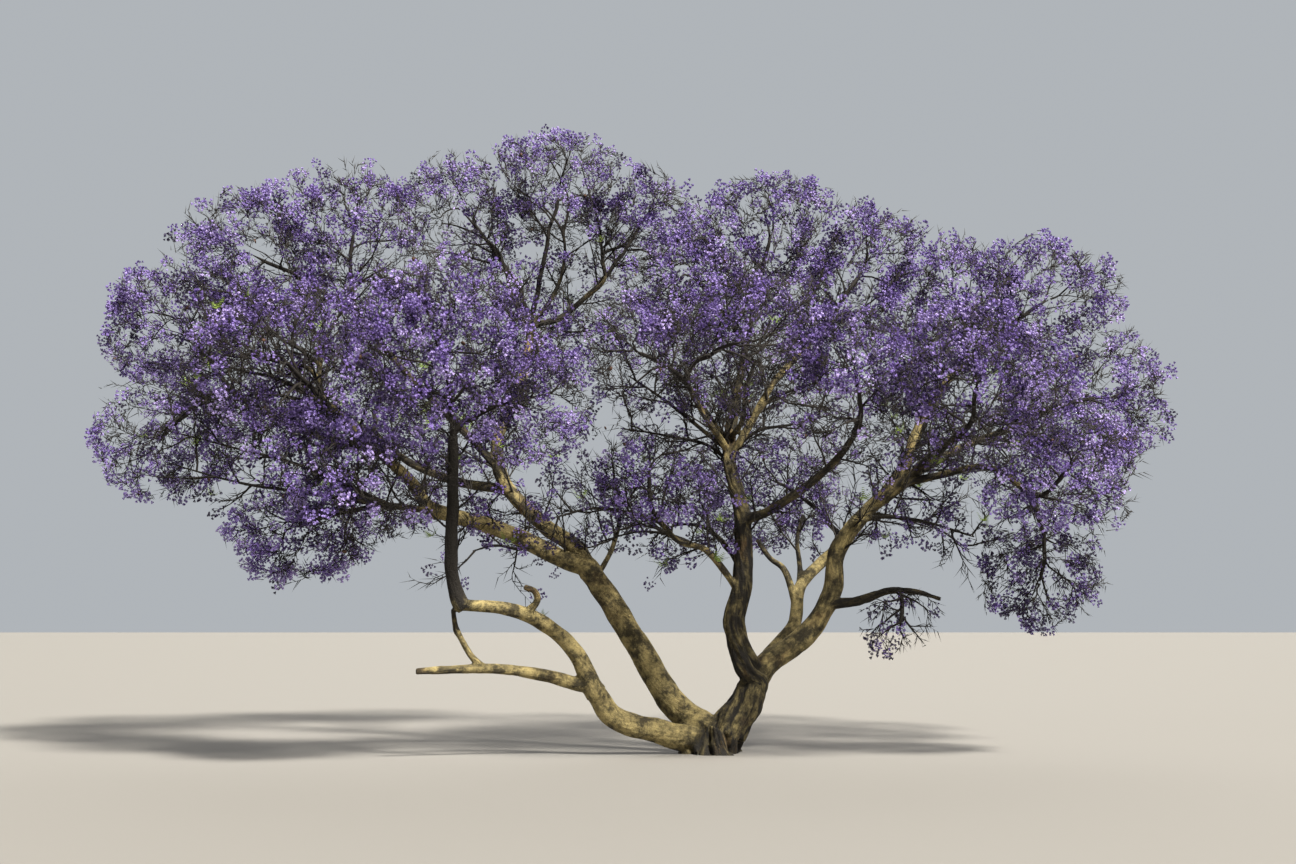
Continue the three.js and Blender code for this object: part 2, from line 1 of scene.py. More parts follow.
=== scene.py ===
"""The looks of a jacaranda tree in full bloom, made around its solids.

The trunk and limbs get one skin of bark with real relief. Twigs grow on from the limbs by a seeded rule,
and carry panicles of trumpet flowers, a few tufts of young leaves and old seed pods.
Everything is in metres with Z up, and the origin is in the flat cut under the trunk.
"""

import functools
import math

import bpy
import numpy as np
from bpy.props import FloatProperty, FloatVectorProperty, IntProperty, PointerProperty
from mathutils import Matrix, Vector, noise
from mathutils.kdtree import KDTree


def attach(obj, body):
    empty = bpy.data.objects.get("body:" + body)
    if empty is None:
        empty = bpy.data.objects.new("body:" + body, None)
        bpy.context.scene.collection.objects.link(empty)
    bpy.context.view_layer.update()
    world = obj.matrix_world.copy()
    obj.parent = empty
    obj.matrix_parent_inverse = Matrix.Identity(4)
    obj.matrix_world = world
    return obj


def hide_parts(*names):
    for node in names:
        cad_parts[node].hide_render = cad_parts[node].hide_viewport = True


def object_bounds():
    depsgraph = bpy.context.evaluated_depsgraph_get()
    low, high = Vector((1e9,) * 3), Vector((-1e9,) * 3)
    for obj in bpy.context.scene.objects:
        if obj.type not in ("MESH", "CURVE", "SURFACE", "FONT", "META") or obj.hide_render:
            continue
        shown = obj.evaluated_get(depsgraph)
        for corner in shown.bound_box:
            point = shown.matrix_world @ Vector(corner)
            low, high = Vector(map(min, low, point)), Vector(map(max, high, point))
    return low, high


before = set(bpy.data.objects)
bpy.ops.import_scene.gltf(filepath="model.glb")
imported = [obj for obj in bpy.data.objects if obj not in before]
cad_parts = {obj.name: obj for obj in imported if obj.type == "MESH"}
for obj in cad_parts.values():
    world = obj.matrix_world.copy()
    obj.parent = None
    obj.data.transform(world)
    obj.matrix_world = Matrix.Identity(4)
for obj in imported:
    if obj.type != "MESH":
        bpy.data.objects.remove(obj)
solid_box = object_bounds()

bl_info = {
    "name": "Jacaranda in bloom",
    "version": (1, 0, 0),
    "blender": (4, 5, 0),
    "location": "View3D > Sidebar > Jacaranda",
    "description": "Bark, twigs, blossom, young leaves and seed pods for a jacaranda tree's solids",
    "category": "Object",
}

BODY = "root"

# The trunk and its root flare
TRUNK_DEPTH = 0.16  # how far the trunk's axis starts under the cut
TRUNK_AXIS = (
    (0, 0, -TRUNK_DEPTH), (0.02, 0, 0.05), (0.145, 0, 0.24), (0.28, 0.02, 0.43),
    (0.41, 0.03, 0.61), (0.5, 0.03, 0.79),
)
TRUNK_RADII = (0.25, 0.2)  # without the flare, at the bottom and the top
FLARE = 0.62  # how much wider the trunk is at the ground
FLARE_RISE = 0.2  # share of the trunk's length over which the flare fades
FLARE_POWER = 1.5
ROOT_LOBES = 7
LOBE_TWIST = 1.6  # turn of the lobes round the trunk, in radians to a metre
LOBE_DEPTH = 0.15
CREASE = 0.35  # how wide the creases between the lobes are
CREASE_DEPTH = 0.26

# A limb follows its parent's heading for this many of the parent's radii, and has a collar at its foot.
LIMB_LEAD = 0.9
COLLAR = 0.22  # how much wider a limb is at its foot

# Every limb: what it leaves and how far along, the points it passes, and its radius at both ends
LIMBS = {
    "low_left_stem": (
        "trunk", 0.25, ((-0.66, -0.19, 0.275), (-1.25, -0.39, 0.47), (-1.46, -0.5, 0.77)), (0.165, 0.122)),
    "low_left_rise": (
        "low_left_stem", 1, ((-1.7, -0.6, 1.26), (-2.07, -0.8, 1.61), (-2.47, -1, 1.79),
        (-3.1, -1.28, 1.85)), (0.112, 0.066)),
    "left_shoot": (
        "low_left_rise", 0.97, ((-3.17, -1.35, 2.26), (-3.15, -1.5, 3.09), (-3.13, -1.75, 3.85)),
        (0.085, 0.06)),
    "low_left_runner": (
        "low_left_stem", 1, ((-1.68, -0.55, 0.88), (-2.12, -0.7, 1), (-2.66, -0.9, 1.08),
        (-3.6, -1.2, 1.06)), (0.088, 0.04)),
    "runner_riser": (
        "low_left_runner", 0.62, ((-2.96, -1.01, 1.24), (-3.12, -1.08, 1.52)), (0.044, 0.036)),
    "left_stem": (
        "trunk", 0.22, ((-0.46, 0.15, 0.58), (-0.9, 0.25, 1.25), (-1.29, 0.35, 1.89), (-1.56, 0.4, 2.28)),
        (0.178, 0.138)),
    "left_arch": (
        "left_stem", 1, ((-1.86, 0.35, 2.43), (-2.5, 0.2, 2.74), (-3.07, 0, 2.93), (-3.5, -0.25, 3.04)),
        (0.122, 0.09)),
    "left_front_limb": (
        "left_arch", 1, ((-3.84, -0.65, 3.45), (-4.32, -0.9, 3.88), (-4.7, -1.25, 4.25)), (0.082, 0.048)),
    "left_low_limb": ("left_arch", 0.97, ((-3.8, -0.75, 3.05), (-4.1, -1.35, 3.06)), (0.052, 0.038)),
    "left_far_limb": (
        "left_front_limb", 0.55, ((-5, -0.65, 3.98), (-5.8, -0.15, 4.35), (-6.25, 0.15, 4.65)),
        (0.056, 0.038)),
    "left_crown_limb": (
        "left_stem", 1, ((-1.74, 0.5, 2.58), (-2.18, 0.7, 2.9), (-2.79, 1.1, 3.57), (-2.88, 1.25, 4.1),
        (-2.6, 1.9, 5.05), (-2.5, 2.2, 5.85)), (0.112, 0.056)),
    "rear_right_limb": ("left_crown_limb", 1, ((-2.1, 2.35, 6.02), (-1.7, 2.35, 6.35)), (0.048, 0.038)),
    "left_back_limb": (
        "left_crown_limb", 0.36, ((-3.4, 1.55, 3.56), (-4.15, 2, 3.86), (-4.8, 2.45, 4.35)),
        (0.072, 0.044)),
    "left_top_limb": (
        "left_crown_limb", 0.44, ((-3.45, 1.15, 4.35), (-4.15, 1, 5.05), (-4.65, 0.85, 5.65)),
        (0.058, 0.04)),
    "centre_stem": (
        "trunk", 1, ((0.43, -0.08, 1.1), (0.27, -0.1, 1.59), (0.37, -0.1, 2.05), (0.4, -0.1, 2.53),
        (0.38, -0.1, 3.02), (0.22, -0.1, 3.75), (0.36, 0.25, 4.65), (0.5, 0.4, 5.4)), (0.16, 0.042)),
    "centre_left_limb": (
        "centre_stem", 0.64, ((-0.12, -0.55, 4.25), (-0.33, -0.95, 4.56)), (0.046, 0.034)),
    "centre_right_limb": (
        "centre_stem", 0.61, ((0.51, -0.2, 4.2), (0.8, -0.25, 4.7), (1.25, -0.1, 5.2)), (0.056, 0.038)),
    "centre_arm": (
        "centre_stem", 0.25, ((-0.09, -0.4, 2.54), (-0.45, -0.75, 2.64), (-0.7, -0.85, 2.9)),
        (0.048, 0.032)),
    "cross_limb": (
        "centre_stem", 0.46, ((0.69, -0.3, 3.03), (1.14, -0.6, 3.32), (1.46, -0.9, 3.59),
        (1.65, -1.4, 3.85)), (0.064, 0.04)),
    "right_stem": (
        "trunk", 0.97, ((0.73, 0.19, 1.13), (1.23, 0.3, 1.49), (1.56, 0.3, 2.02), (1.64, 0.3, 2.56),
        (2.04, 0.2, 3.09), (2.48, 0, 3.44)), (0.152, 0.084)),
    "right_high_limb": ("right_stem", 1, ((2.8, -0.4, 3.76), (3, -1.15, 3.9)), (0.062, 0.044)),
    "right_arch_limb": (
        "right_stem", 0.95, ((2.9, -0.35, 3.5), (3.45, -0.65, 3.56), (3.9, -0.75, 3.2),
        (4.05, -0.72, 2.85)), (0.054, 0.032)),
    "right_side_limb": (
        "right_stem", 1, ((3.2, 0.1, 3.87), (3.9, 0.2, 4.15), (4.3, 0.22, 4.35)), (0.058, 0.04)),
    "right_top_limb": (
        "right_stem", 0.97, ((2.62, 0.12, 4), (2.95, 0.25, 4.6), (3.35, 0.3, 5.05)), (0.062, 0.042)),
    "right_inner_limb": (
        "trunk", 0.9, ((0.76, 0.42, 1.23), (1.09, 0.62, 1.59), (1.21, 0.85, 2.11), (1.8, 1.35, 2.7),
        (2.6, 1.9, 3.6), (3.1, 2.4, 4.35)), (0.098, 0.044)),
    "right_low_limb": (
        "right_stem", 0.42, ((1.9, 0.06, 1.92), (2.25, -0.1, 2.04), (2.61, -0.3, 2.01),
        (2.85, -0.4, 1.93)), (0.076, 0.026)),
}

# Every mass of blossom: the limb that carries it and where, the middle of its ball, its radius, how full
# of blossom it is beside the fullest, and the height under which it is nearly bare
MASSES = {
    "left_tip_low": ("left_far_limb", 1, (-7.12, 0.2, 4), 1.08, 0.42, 0),
    "left_tip_high": ("left_far_limb", 0.93, (-6.96, 0.6, 5.55), 1.27, 0.7, 0),
    "left_shoulder": ("left_top_limb", 0.92, (-6.02, 0.4, 6.45), 1.25, 0.76, 0),
    "left_top": ("left_top_limb", 1, (-4.8, 0.8, 6.88), 1.27, 0.5, 0),
    "left_front": ("left_front_limb", 1, (-5.02, -2, 4.64), 1.35, 0.66, 0),
    "left_billow": ("left_shoot", 1, (-3.19, -2.6, 4.72), 1.52, 0.76, 0),
    "left_low_front": ("left_low_limb", 1, (-4.12, -2.3, 3.32), 1.2, 0.68, 2.8),
    "left_skirt": ("left_low_limb", 0.85, (-5.03, -1.2, 2.8), 0.98, 0.74, 0),
    "left_inner": ("left_shoot", 0.95, (-2.18, -1.5, 4.3), 1.05, 0.66, 3.5),
    "left_far_back": ("left_back_limb", 1, (-6.5, 3, 5.3), 1.65, 0.46, 4.6),
    "left_back": ("left_back_limb", 0.93, (-4.4, 3.6, 5.6), 1.55, 0.46, 5),
    "rear_top_left": ("left_crown_limb", 0.97, (-3.48, 2.2, 7.47), 1.18, 0.5, 7),
    "rear_top": ("left_crown_limb", 1, (-2.13, 2.2, 7.8), 1.22, 0.5, 7.4),
    "rear_right": ("rear_right_limb", 1, (-0.97, 2.3, 7.36), 1.08, 0.54, 7),
    "rear_back": ("left_crown_limb", 0.8, (-2.1, 4.3, 6.3), 1.5, 0.46, 6),
    "centre_top": ("centre_stem", 1, (0.79, 0.2, 6.65), 1.15, 0.5, 6),
    "centre_shoulder": ("centre_stem", 0.93, (-0.22, -0.4, 5.95), 1.08, 0.5, 0),
    "centre_right_top": ("centre_right_limb", 1, (1.95, 0.2, 6.18), 1.17, 0.54, 0),
    "centre_front_left": ("centre_left_limb", 1, (-0.92, -1.6, 4.83), 1.05, 0.5, 4.8),
    "centre_front": ("centre_left_limb", 0.9, (0.28, -2.6, 4.78), 1.3, 0.44, 4.7),
    "centre_front_right": ("cross_limb", 1, (1.55, -2.4, 4.41), 1.25, 0.68, 4.2),
    "centre_back": ("centre_stem", 0.72, (0.6, 3.2, 5.6), 1.6, 0.44, 5.7),
    "centre_low_left": ("centre_arm", 1, (-0.78, -0.9, 3.48), 0.88, 0.48, 0),
    "centre_low_back": ("right_inner_limb", 0.5, (0.95, 3, 3.7), 1.3, 0.44, 0),
    "right_top_left": ("right_top_limb", 0.93, (3.22, 0.2, 5.8), 1.15, 0.68, 0),
    "right_top": ("right_top_limb", 1, (4.45, 0.5, 5.85), 1.18, 0.68, 0),
    "right_edge": ("right_side_limb", 1, (4.96, 0.2, 4.53), 1.2, 0.7, 0),
    "right_front": ("right_high_limb", 1, (2.97, -2.2, 4.32), 1.35, 0.74, 4),
    "right_front_low": ("right_arch_limb", 0.8, (4.15, -1.5, 3.45), 1.1, 0.64, 0),
    "right_skirt": ("right_arch_limb", 1, (4.05, -0.6, 2.23), 0.93, 0.44, 0),
    "right_hanging": ("right_low_limb", 0.62, (2.33, -0.33, 1.64), 0.64, 0.32, 0),
    "right_back": ("right_inner_limb", 1, (3.7, 3.2, 5.2), 1.65, 0.48, 4.9),
    "right_far_back": ("right_inner_limb", 0.9, (4.9, 2.3, 4.1), 1.35, 0.46, 4),
}
REGIONS = ("left", "rear", "centre", "right")  # how the names of the masses start

# How many twigs a mass has beside the others: fewer behind and under the low limb, more in the tops
TWIG_SHARES = {
    "left_far_back": 0.65, "left_back": 0.65, "rear_back": 0.65, "centre_back": 0.65, "right_back": 0.65,
    "right_far_back": 0.65, "rear_top_left": 1.2, "rear_top": 1.25, "rear_right": 1.2,
    "centre_shoulder": 1.2, "centre_top": 1.3, "centre_right_top": 1.3, "right_hanging": 0.5,
}
# These masses get painted shade: their blossom takes the inside's deep tones
SHADED = ("right_skirt", "right_hanging")  # their blossom has the inside's tones all over

# Where the crown is open to one who stands at the camera: the middle of each opening, its half width and
# half height in the trunk's plane, and the share of the blossom that is left there
EYE = (-0.82, -20.8, 1.67)
OPENINGS = (
    (-5.65, 4.95, 1.25, 0.62, 0.12), (-4.3, 6.35, 0.6, 0.35, 0.3), (-3.4, 6.75, 0.8, 0.7, 0.3),
    (-1.85, 6.2, 1.1, 0.85, 0.3), (-5.6, 6.3, 0.55, 0.3, 0.3), (-1.35, 4.6, 0.75, 0.6, 0.2),
    (0.25, 4.3, 1.1, 0.75, 0.25), (1.6, 4, 1, 0.45, 0.5), (-7.4, 4, 0.9, 0.45, 0.7),
    (3.4, 3.5, 0.9, 0.35, 0.4), (-3.15, 3.45, 0.75, 0.32, 0.4), (-3.8, 3.5, 0.8, 0.55, 0.15),
    (1.85, 1.8, 0.3, 0.3, 0.05), (2.8, 1.45, 0.4, 0.4, 0.05), (-0.6, 4.2, 0.7, 0.45, 0.2),
)

# Fine limbs that only show in the finish, in the same form as the limbs
FINE_LIMBS = {
    "right_inner_fork": (
        "right_inner_limb", 0.27, ((1, 0.85, 2.33), (0.82, 1.05, 2.5), (0.66, 1.2, 2.75)), (0.055, 0.03)),
    "right_inner_rise": (
        "right_inner_limb", 0.3, ((1.22, 1, 2.35), (1.2, 1.15, 2.75), (1.3, 1.3, 3.1)), (0.045, 0.025)),
    "arm_spray": (
        "centre_arm", 0.96, ((-1.05, -0.95, 2.98), (-1.5, -1.1, 3.02), (-1.95, -1.2, 2.9)), (0.03, 0.014)),
    "arm_back": (
        "centre_arm", 0.45, ((-0.5, 0.1, 2.75), (-0.95, 0.5, 2.82), (-1.5, 0.9, 2.7)), (0.028, 0.014)),
    "stem_back": (
        "centre_stem", 0.3, ((0.1, 0.4, 2.75), (-0.3, 1, 2.95), (-0.8, 1.6, 2.85)), (0.035, 0.015)),
    "right_brace": (
        "right_stem", 0.72, ((2.1, 0.1, 2.98), (2.61, -0.2, 2.93), (3.25, -0.6, 2.7)), (0.035, 0.015)),
    "right_under": ("right_stem", 0.8, ((2.5, 0.5, 3), (3, 0.8, 2.9), (3.5, 1, 2.6)), (0.03, 0.014)),
    "arch_under": (
        "left_arch", 0.45, ((-2.5, 0.6, 2.6), (-2.85, 0.9, 2.66), (-3.2, 1.2, 2.6)), (0.032, 0.015)),
    "stem_rise": ("left_stem", 0.93, ((-1.3, 0.7, 2.6), (-1.2, 1.1, 3.1), (-1.3, 1.4, 3.7)), (0.04, 0.02)),
    "fan_stem": (
        "left_front_limb", 0.97, ((-4.85, -1, 4.42), (-4.91, -0.9, 4.65), (-4.91, -0.8, 4.9),
        (-4.98, -0.6, 5.18), (-5.14, -0.5, 5.46)), (0.045, 0.02)),
    "fan_high": (
        "fan_stem", 0.35, ((-5.02, -1, 4.76), (-5.44, -0.9, 4.86), (-5.8, -0.8, 5.02), (-6.1, -0.7, 5.29)),
        (0.032, 0.014)),
    "fan_middle": (
        "left_front_limb", 1, ((-5.01, -1, 4.46), (-5.41, -1, 4.63), (-5.86, -1, 4.74), (-6.36, -1, 4.84)),
        (0.032, 0.014)),
    "fan_low": (
        "left_front_limb", 0.93, ((-5.11, -1, 4.37), (-5.63, -0.9, 4.45), (-6.15, -0.8, 4.39),
        (-6.67, -0.7, 4.28)), (0.03, 0.012)),
    "fan_rise": (
        "fan_stem", 0.5, ((-5.15, -0.9, 5.01), (-5.4, -0.9, 5.16), (-5.66, -0.8, 5.43),
        (-5.84, -0.7, 5.73)), (0.028, 0.012)),
    "fan_top": (
        "fan_stem", 0.6, ((-4.85, -0.65, 5.25), (-4.71, -0.5, 5.61), (-4.61, -0.4, 6)), (0.028, 0.012)),
    "net_high": (
        "left_low_limb", 0.7, ((-5.17, -1.2, 3.58), (-5.71, -1, 3.72), (-6.32, -0.8, 3.89),
        (-6.97, -0.6, 4.06)), (0.03, 0.012)),
    "net_low": (
        "left_low_limb", 1, ((-5.2, -1.3, 3.23), (-5.74, -1.1, 3.32), (-6.25, -1, 3.45),
        (-6.78, -0.9, 3.61)), (0.03, 0.012)),
    "spray_high": (
        "centre_stem", 0.655, ((0, -0.2, 4.22), (-0.28, -0.3, 4.59), (-0.63, -0.4, 4.91)), (0.036, 0.016)),
    "spray_middle": (
        "centre_stem", 0.64, ((-0.08, 0, 4.08), (-0.6, 0.1, 4.51), (-1.08, 0.1, 4.84)), (0.034, 0.015)),
    "spray_low": (
        "centre_stem", 0.6, ((-0.02, 0.1, 3.91), (-0.53, 0.2, 4.05), (-1.19, 0.3, 4.17)), (0.03, 0.014)),
    "spray_rise": (
        "centre_stem", 0.68, ((0.38, -0.3, 4.2), (0.43, -0.4, 4.64), (0.56, -0.5, 4.95)), (0.04, 0.02)),
    "spray_side": (
        "centre_right_limb", 0.3, ((0.74, -0.3, 4.46), (1.11, -0.4, 4.6), (1.48, -0.5, 4.69)),
        (0.03, 0.014)),
    "spray_side_low": (
        "centre_right_limb", 0.12, ((0.63, 0.1, 4.12), (1.03, 0.2, 4.2), (1.56, 0.2, 4.33)),
        (0.03, 0.014)),
    "rear_gnarl": (
        "rear_right_limb", 1, ((-1.45, 2.3, 6.58), (-1.47, 2.3, 6.95), (-1.17, 2.3, 7.1),
        (-0.95, 2.3, 7.45)), (0.036, 0.014)),
    "rear_rise": (
        "rear_gnarl", 0.4, ((-1.53, 2.3, 7.36), (-1.71, 2.3, 7.96), (-1.8, 2.3, 8.3)), (0.026, 0.012)),
    "rear_middle": (
        "left_crown_limb", 1, ((-2.2, 2.2, 6.3), (-2.05, 2.2, 6.7), (-2.06, 2.2, 7.25), (-2.37, 2.2, 7.66),
        (-2.73, 2.2, 7.89)), (0.036, 0.014)),
    "rear_middle_rise": (
        "rear_middle", 0.6, ((-1.97, 2.2, 7.7), (-2.15, 2.2, 8.16), (-2.3, 2.2, 8.4)), (0.024, 0.012)),
    "rear_left": (
        "left_crown_limb", 0.95, ((-2.74, 2, 6.21), (-3.01, 2, 6.98), (-3.55, 2, 7.29), (-3.8, 2, 7.34)),
        (0.034, 0.014)),
    "riser_tip": ("runner_riser", 1, ((-3.15, -1.15, 1.66), (-3.16, -1.25, 1.8)), (0.036, 0.028)),
    "hooked_stub": (
        "low_left_rise", 0.62, ((-2.17, -0.95, 1.9), (-2.2, -1, 2.02), (-2.33, -1.02, 2.07)),
        (0.05, 0.034)),
}

# Masses whose twigs and panicles hang, and how much
DROOP = {
    "left_skirt": 0.7, "right_skirt": 1.6, "right_hanging": 1.8, "right_front_low": 0.5,
    "centre_low_left": 1.2, "centre_low_back": 0.8, "left_tip_low": 0.4, "left_low_front": 0.3,
}

# Masses are flattened balls that share their borders.
FLATTEN = 0.86
BORDER = 0.014  # room to a border, and to a mass's outer face
MELT = 0.25  # how much the outer faces of neighbouring masses melt into each other
LOWEST_BLOSSOM = 0.9

# The twig rule
GOLDEN_ANGLE = math.pi * (3 - math.sqrt(5))
BALANCE = 0.35  # weight of the way back to the bough against the length of a new twig
TURN_COST = 0.75  # cost of a sharp turn, in twig lengths
LEAD = 0.32  # how long a twig follows the heading of what it leaves
HUB_PAST = 0.12  # how far a mass's stem runs past the middle, over the mass's reach
SAG = 0.1  # how far a twig's middle sags under its ends, over its length
SHRINK = 0.9  # a twig that meets something is drawn this much further in, DRAWS times in all
DRAWS = 4
CLUMP = 0.32  # size of the clumps of blossom
CLUMPING = 2.8  # how sharply the clumps stand out
BAY = 0.5  # size of the bays in a mass's outer face
BAY_DEPTH = 0.5  # how far they reach in, over the mass's reach
BEARING = 0.56  # share of the twig ends that bear blossom where a mass is fullest
BARE_SHARE = 0.12  # share of the blossom that stays under the height where a mass is nearly bare
CLEARANCE = 0.02  # between a twig and the limbs
STEM_RADIUS = 0.045
STEM_SHARE = 0.9  # largest radius of a mass's stem over its bough's
STEM_TIP_RADIUS = 0.024
TWIGLETS = (0.18, 0.34, 0.5, 0.65, 0.8, 0.94)  # shares of a twig at which twiglets leave it
TWIGLET_LENGTHS = (0.3, 0.7)  # over the twig's length
LONGEST_TWIGLETS = (0.204, 0.34)
TWIGLET_SPREAD = 0.85  # their ways out of the twig's heading, and up
TWIGLET_LIFT = 0.3
TWIGLET_DROOP = 0.5
TWIGLET_RADIUS = 0.0065
TWIGLET_OPENING = 0.18  # power of an opening's share that gives the share of twiglets left there
TWIGLET_BLOSSOM = 0.3  # chance of blossom over that of a twig's end
SEED_STEP = 977


def mix(a, b, share):
    return a + (b - a) * share


def unit(vectors):
    """Vectors of length one, along the last axis."""
    return vectors / np.maximum(np.linalg.norm(vectors, axis=-1, keepdims=True), 1e-9)


def linear(code):
    """A colour written as six hexadecimal digits, as linear red, green and blue."""
    shares = [int(code[i:i + 2], 16) / 255 for i in (0, 2, 4)]
    return tuple(s / 12.92 if s <= 0.04045 else ((s + 0.055) / 1.055) ** 2.4 for s in shares)


class Curve:
    """A centripetal Catmull-Rom curve through points, read by the share of its length."""

    STEPS = 200

    def __init__(self, points):
        p = np.array(points, float)
        self.points = np.vstack([2 * p[0] - p[1], p, 2 * p[-1] - p[-2]])
        self.knots = np.linalg.norm(np.diff(self.points, axis=0), axis=1) ** 0.5
        self.times = np.linspace(0, 1, self.STEPS + 1)
        chords = np.linalg.norm(np.diff(self.at_time(self.times), axis=0), axis=1)
        self.run = np.concatenate([[0], np.cumsum(chords)])
        self.length = self.run[-1]

    def at_time(self, time):
        spans = len(self.points) - 3
        place = np.clip(np.asarray(time, float) * spans, 0, spans)
        span = np.minimum(place.astype(int), spans - 1)
        t = (place - span)[..., None]
        p0, p1, p2, p3 = (self.points[span + i] for i in range(4))
        d0, d1, d2 = (self.knots[span + i][..., None] for i in range(3))
        m1 = ((p1 - p0) / d0 - (p2 - p0) / (d0 + d1) + (p2 - p1) / d1) * d1
        m2 = ((p2 - p1) / d1 - (p3 - p1) / (d1 + d2) + (p3 - p2) / d2) * d1
        return p1 + t * m1 + t**2 * (3 * (p2 - p1) - 2 * m1 - m2) + t**3 * (2 * (p1 - p2) + m1 + m2)

    def at(self, share):
        return self.at_time(np.interp(np.asarray(share) * self.length, self.run, self.times))

    def heading(self, share):
        time = np.interp(np.asarray(share) * self.length, self.run, self.times)
        step = 1e-4
        return unit(self.at_time(np.minimum(time + step, 1)) - self.at_time(np.maximum(time - step, 0)))


class Limb:
    """The trunk or a limb: its curve and its radius along it."""

    def __init__(self, name, curve, radii):
        self.name = name
        self.curve = curve
        self.radii = radii

    def radius(self, share):
        share = np.asarray(share, float)
        bare = mix(self.radii[0], self.radii[1], share)
        if self.name == "trunk":
            return bare * (1 + FLARE * self.flare(share) ** FLARE_POWER)
        return bare * (1 + COLLAR * np.exp(-share * self.curve.length / (2 * self.radii[0])))

    def flare(self, share):
        """How much of the root flare is there, from 1 at the ground to 0."""
        return np.exp(-np.maximum(0, share - TRUNK_DEPTH / self.curve.length) / FLARE_RISE)

    def rings(self, spacing):
        """Centres, headings, sideways directions, radii and shares of rings along the limb."""
        count = max(3, round(self.curve.length / spacing)) + 1
        shares = np.linspace(0, 1, count)
        centres = self.curve.at(shares)
        headings = self.curve.heading(shares)
        sides = np.empty_like(centres)
        side = np.array([1.0, 0, 0])
        for i, heading in enumerate(headings):
            side = unit(side - heading * side.dot(heading))
            sides[i] = side
        return centres, headings, sides, self.radius(shares), shares


@functools.cache
def limbs():
    """The trunk and all limbs by name, each grown from its parent."""
    grown = {"trunk": Limb("trunk", Curve(TRUNK_AXIS), TRUNK_RADII)}
    for name, (parent, share, through, radii) in (LIMBS | FINE_LIMBS).items():
        source = grown[parent]
        start = source.curve.at(share)
        heading = source.curve.heading(share)
        onward = unit(np.array(through[0]) - start)
        lead = LIMB_LEAD * source.radius(share) * max(0, onward.dot(heading))
        leading = [start + heading * lead] if lead > 0.001 else []
        grown[name] = Limb(name, Curve([start, *leading, *through]), radii)
    return grown


# Helpers for objects and meshes


def deselect():
    bpy.ops.object.select_all(action="DESELECT")


def choose(*objects):
    """Selects just these objects, with the first one active."""
    deselect()
    for o in objects:
        o.select_set(True)
    bpy.context.view_layer.objects.active = objects[0]


def add_modifier(piece, kind, **settings):
    """Adds a modifier, sets it and applies it."""
    choose(piece)
    bpy.ops.object.modifier_add(type=kind)
    modifier = piece.modifiers[-1]
    for name, value in settings.items():
        setattr(modifier, name, value)
    bpy.ops.object.modifier_apply(modifier=modifier.name)


def triangle_object(name, vertices, triangles):
    """An object of triangles from arrays of places and of corners."""
    mesh = bpy.data.meshes.new(name)
    mesh.vertices.add(len(vertices))
    mesh.vertices.foreach_set("co", np.asarray(vertices, np.float32).ravel())
    mesh.loops.add(3 * len(triangles))
    mesh.loops.foreach_set("vertex_index", np.asarray(triangles, np.int32).ravel())
    mesh.polygons.add(len(triangles))
    mesh.polygons.foreach_set("loop_start", np.arange(0, 3 * len(triangles), 3, dtype=np.int32))
    mesh.update(calc_edges=True)
    piece = bpy.data.objects.new(name, mesh)
    bpy.context.scene.collection.objects.link(piece)
    return piece


def joined(parts):
    """Vertices and triangles of several such pairs as one pair."""
    offsets = np.cumsum([0] + [len(v) for v, _ in parts[:-1]])
    return (
        np.concatenate([v for v, _ in parts]),
        np.concatenate([t + offset for (_, t), offset in zip(parts, offsets)]),
    )


def places_of(mesh):
    places = np.empty(3 * len(mesh.vertices), np.float32)
    mesh.vertices.foreach_get("co", places)
    return places.reshape(-1, 3).astype(float)


def set_places(mesh, places):
    mesh.vertices.foreach_set("co", places.astype(np.float32).ravel())
    mesh.update()


def set_attribute(mesh, name, values):
    """Stores a number or a vector for each vertex."""
    kind, key = ("FLOAT", "value") if values.ndim == 1 else ("FLOAT_VECTOR", "vector")
    attribute = mesh.attributes.new(name, kind, "POINT")
    attribute.data.foreach_set(key, values.astype(np.float32).ravel())


def finish_piece(piece, material, nodes=()):
    """Gives a piece its material, slot and body, and hides the solids that it stands for."""
    piece.data.materials.clear()
    piece.data.materials.append(material)
    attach(piece, BODY)
    if nodes:
        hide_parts(*nodes)


# Shader maths


class Value:
    """A socket of a material's tree. Sums, differences and products add Math nodes."""

    def __init__(self, shader, socket):
        self.shader = shader
        self.socket = socket

    def _math(self, operation, first, second):
        return self.shader.node("ShaderNodeMath", {"operation": operation}, {0: first, 1: second})

    def __add__(self, other):
        return self._math("ADD", self, other)

    def __radd__(self, other):
        return self._math("ADD", other, self)

    def __sub__(self, other):
        return self._math("SUBTRACT", self, other)

    def __rsub__(self, other):
        return self._math("SUBTRACT", other, self)

    def __mul__(self, other):
        return self._math("MULTIPLY", self, other)

    def __rmul__(self, other):
        return self._math("MULTIPLY", other, self)


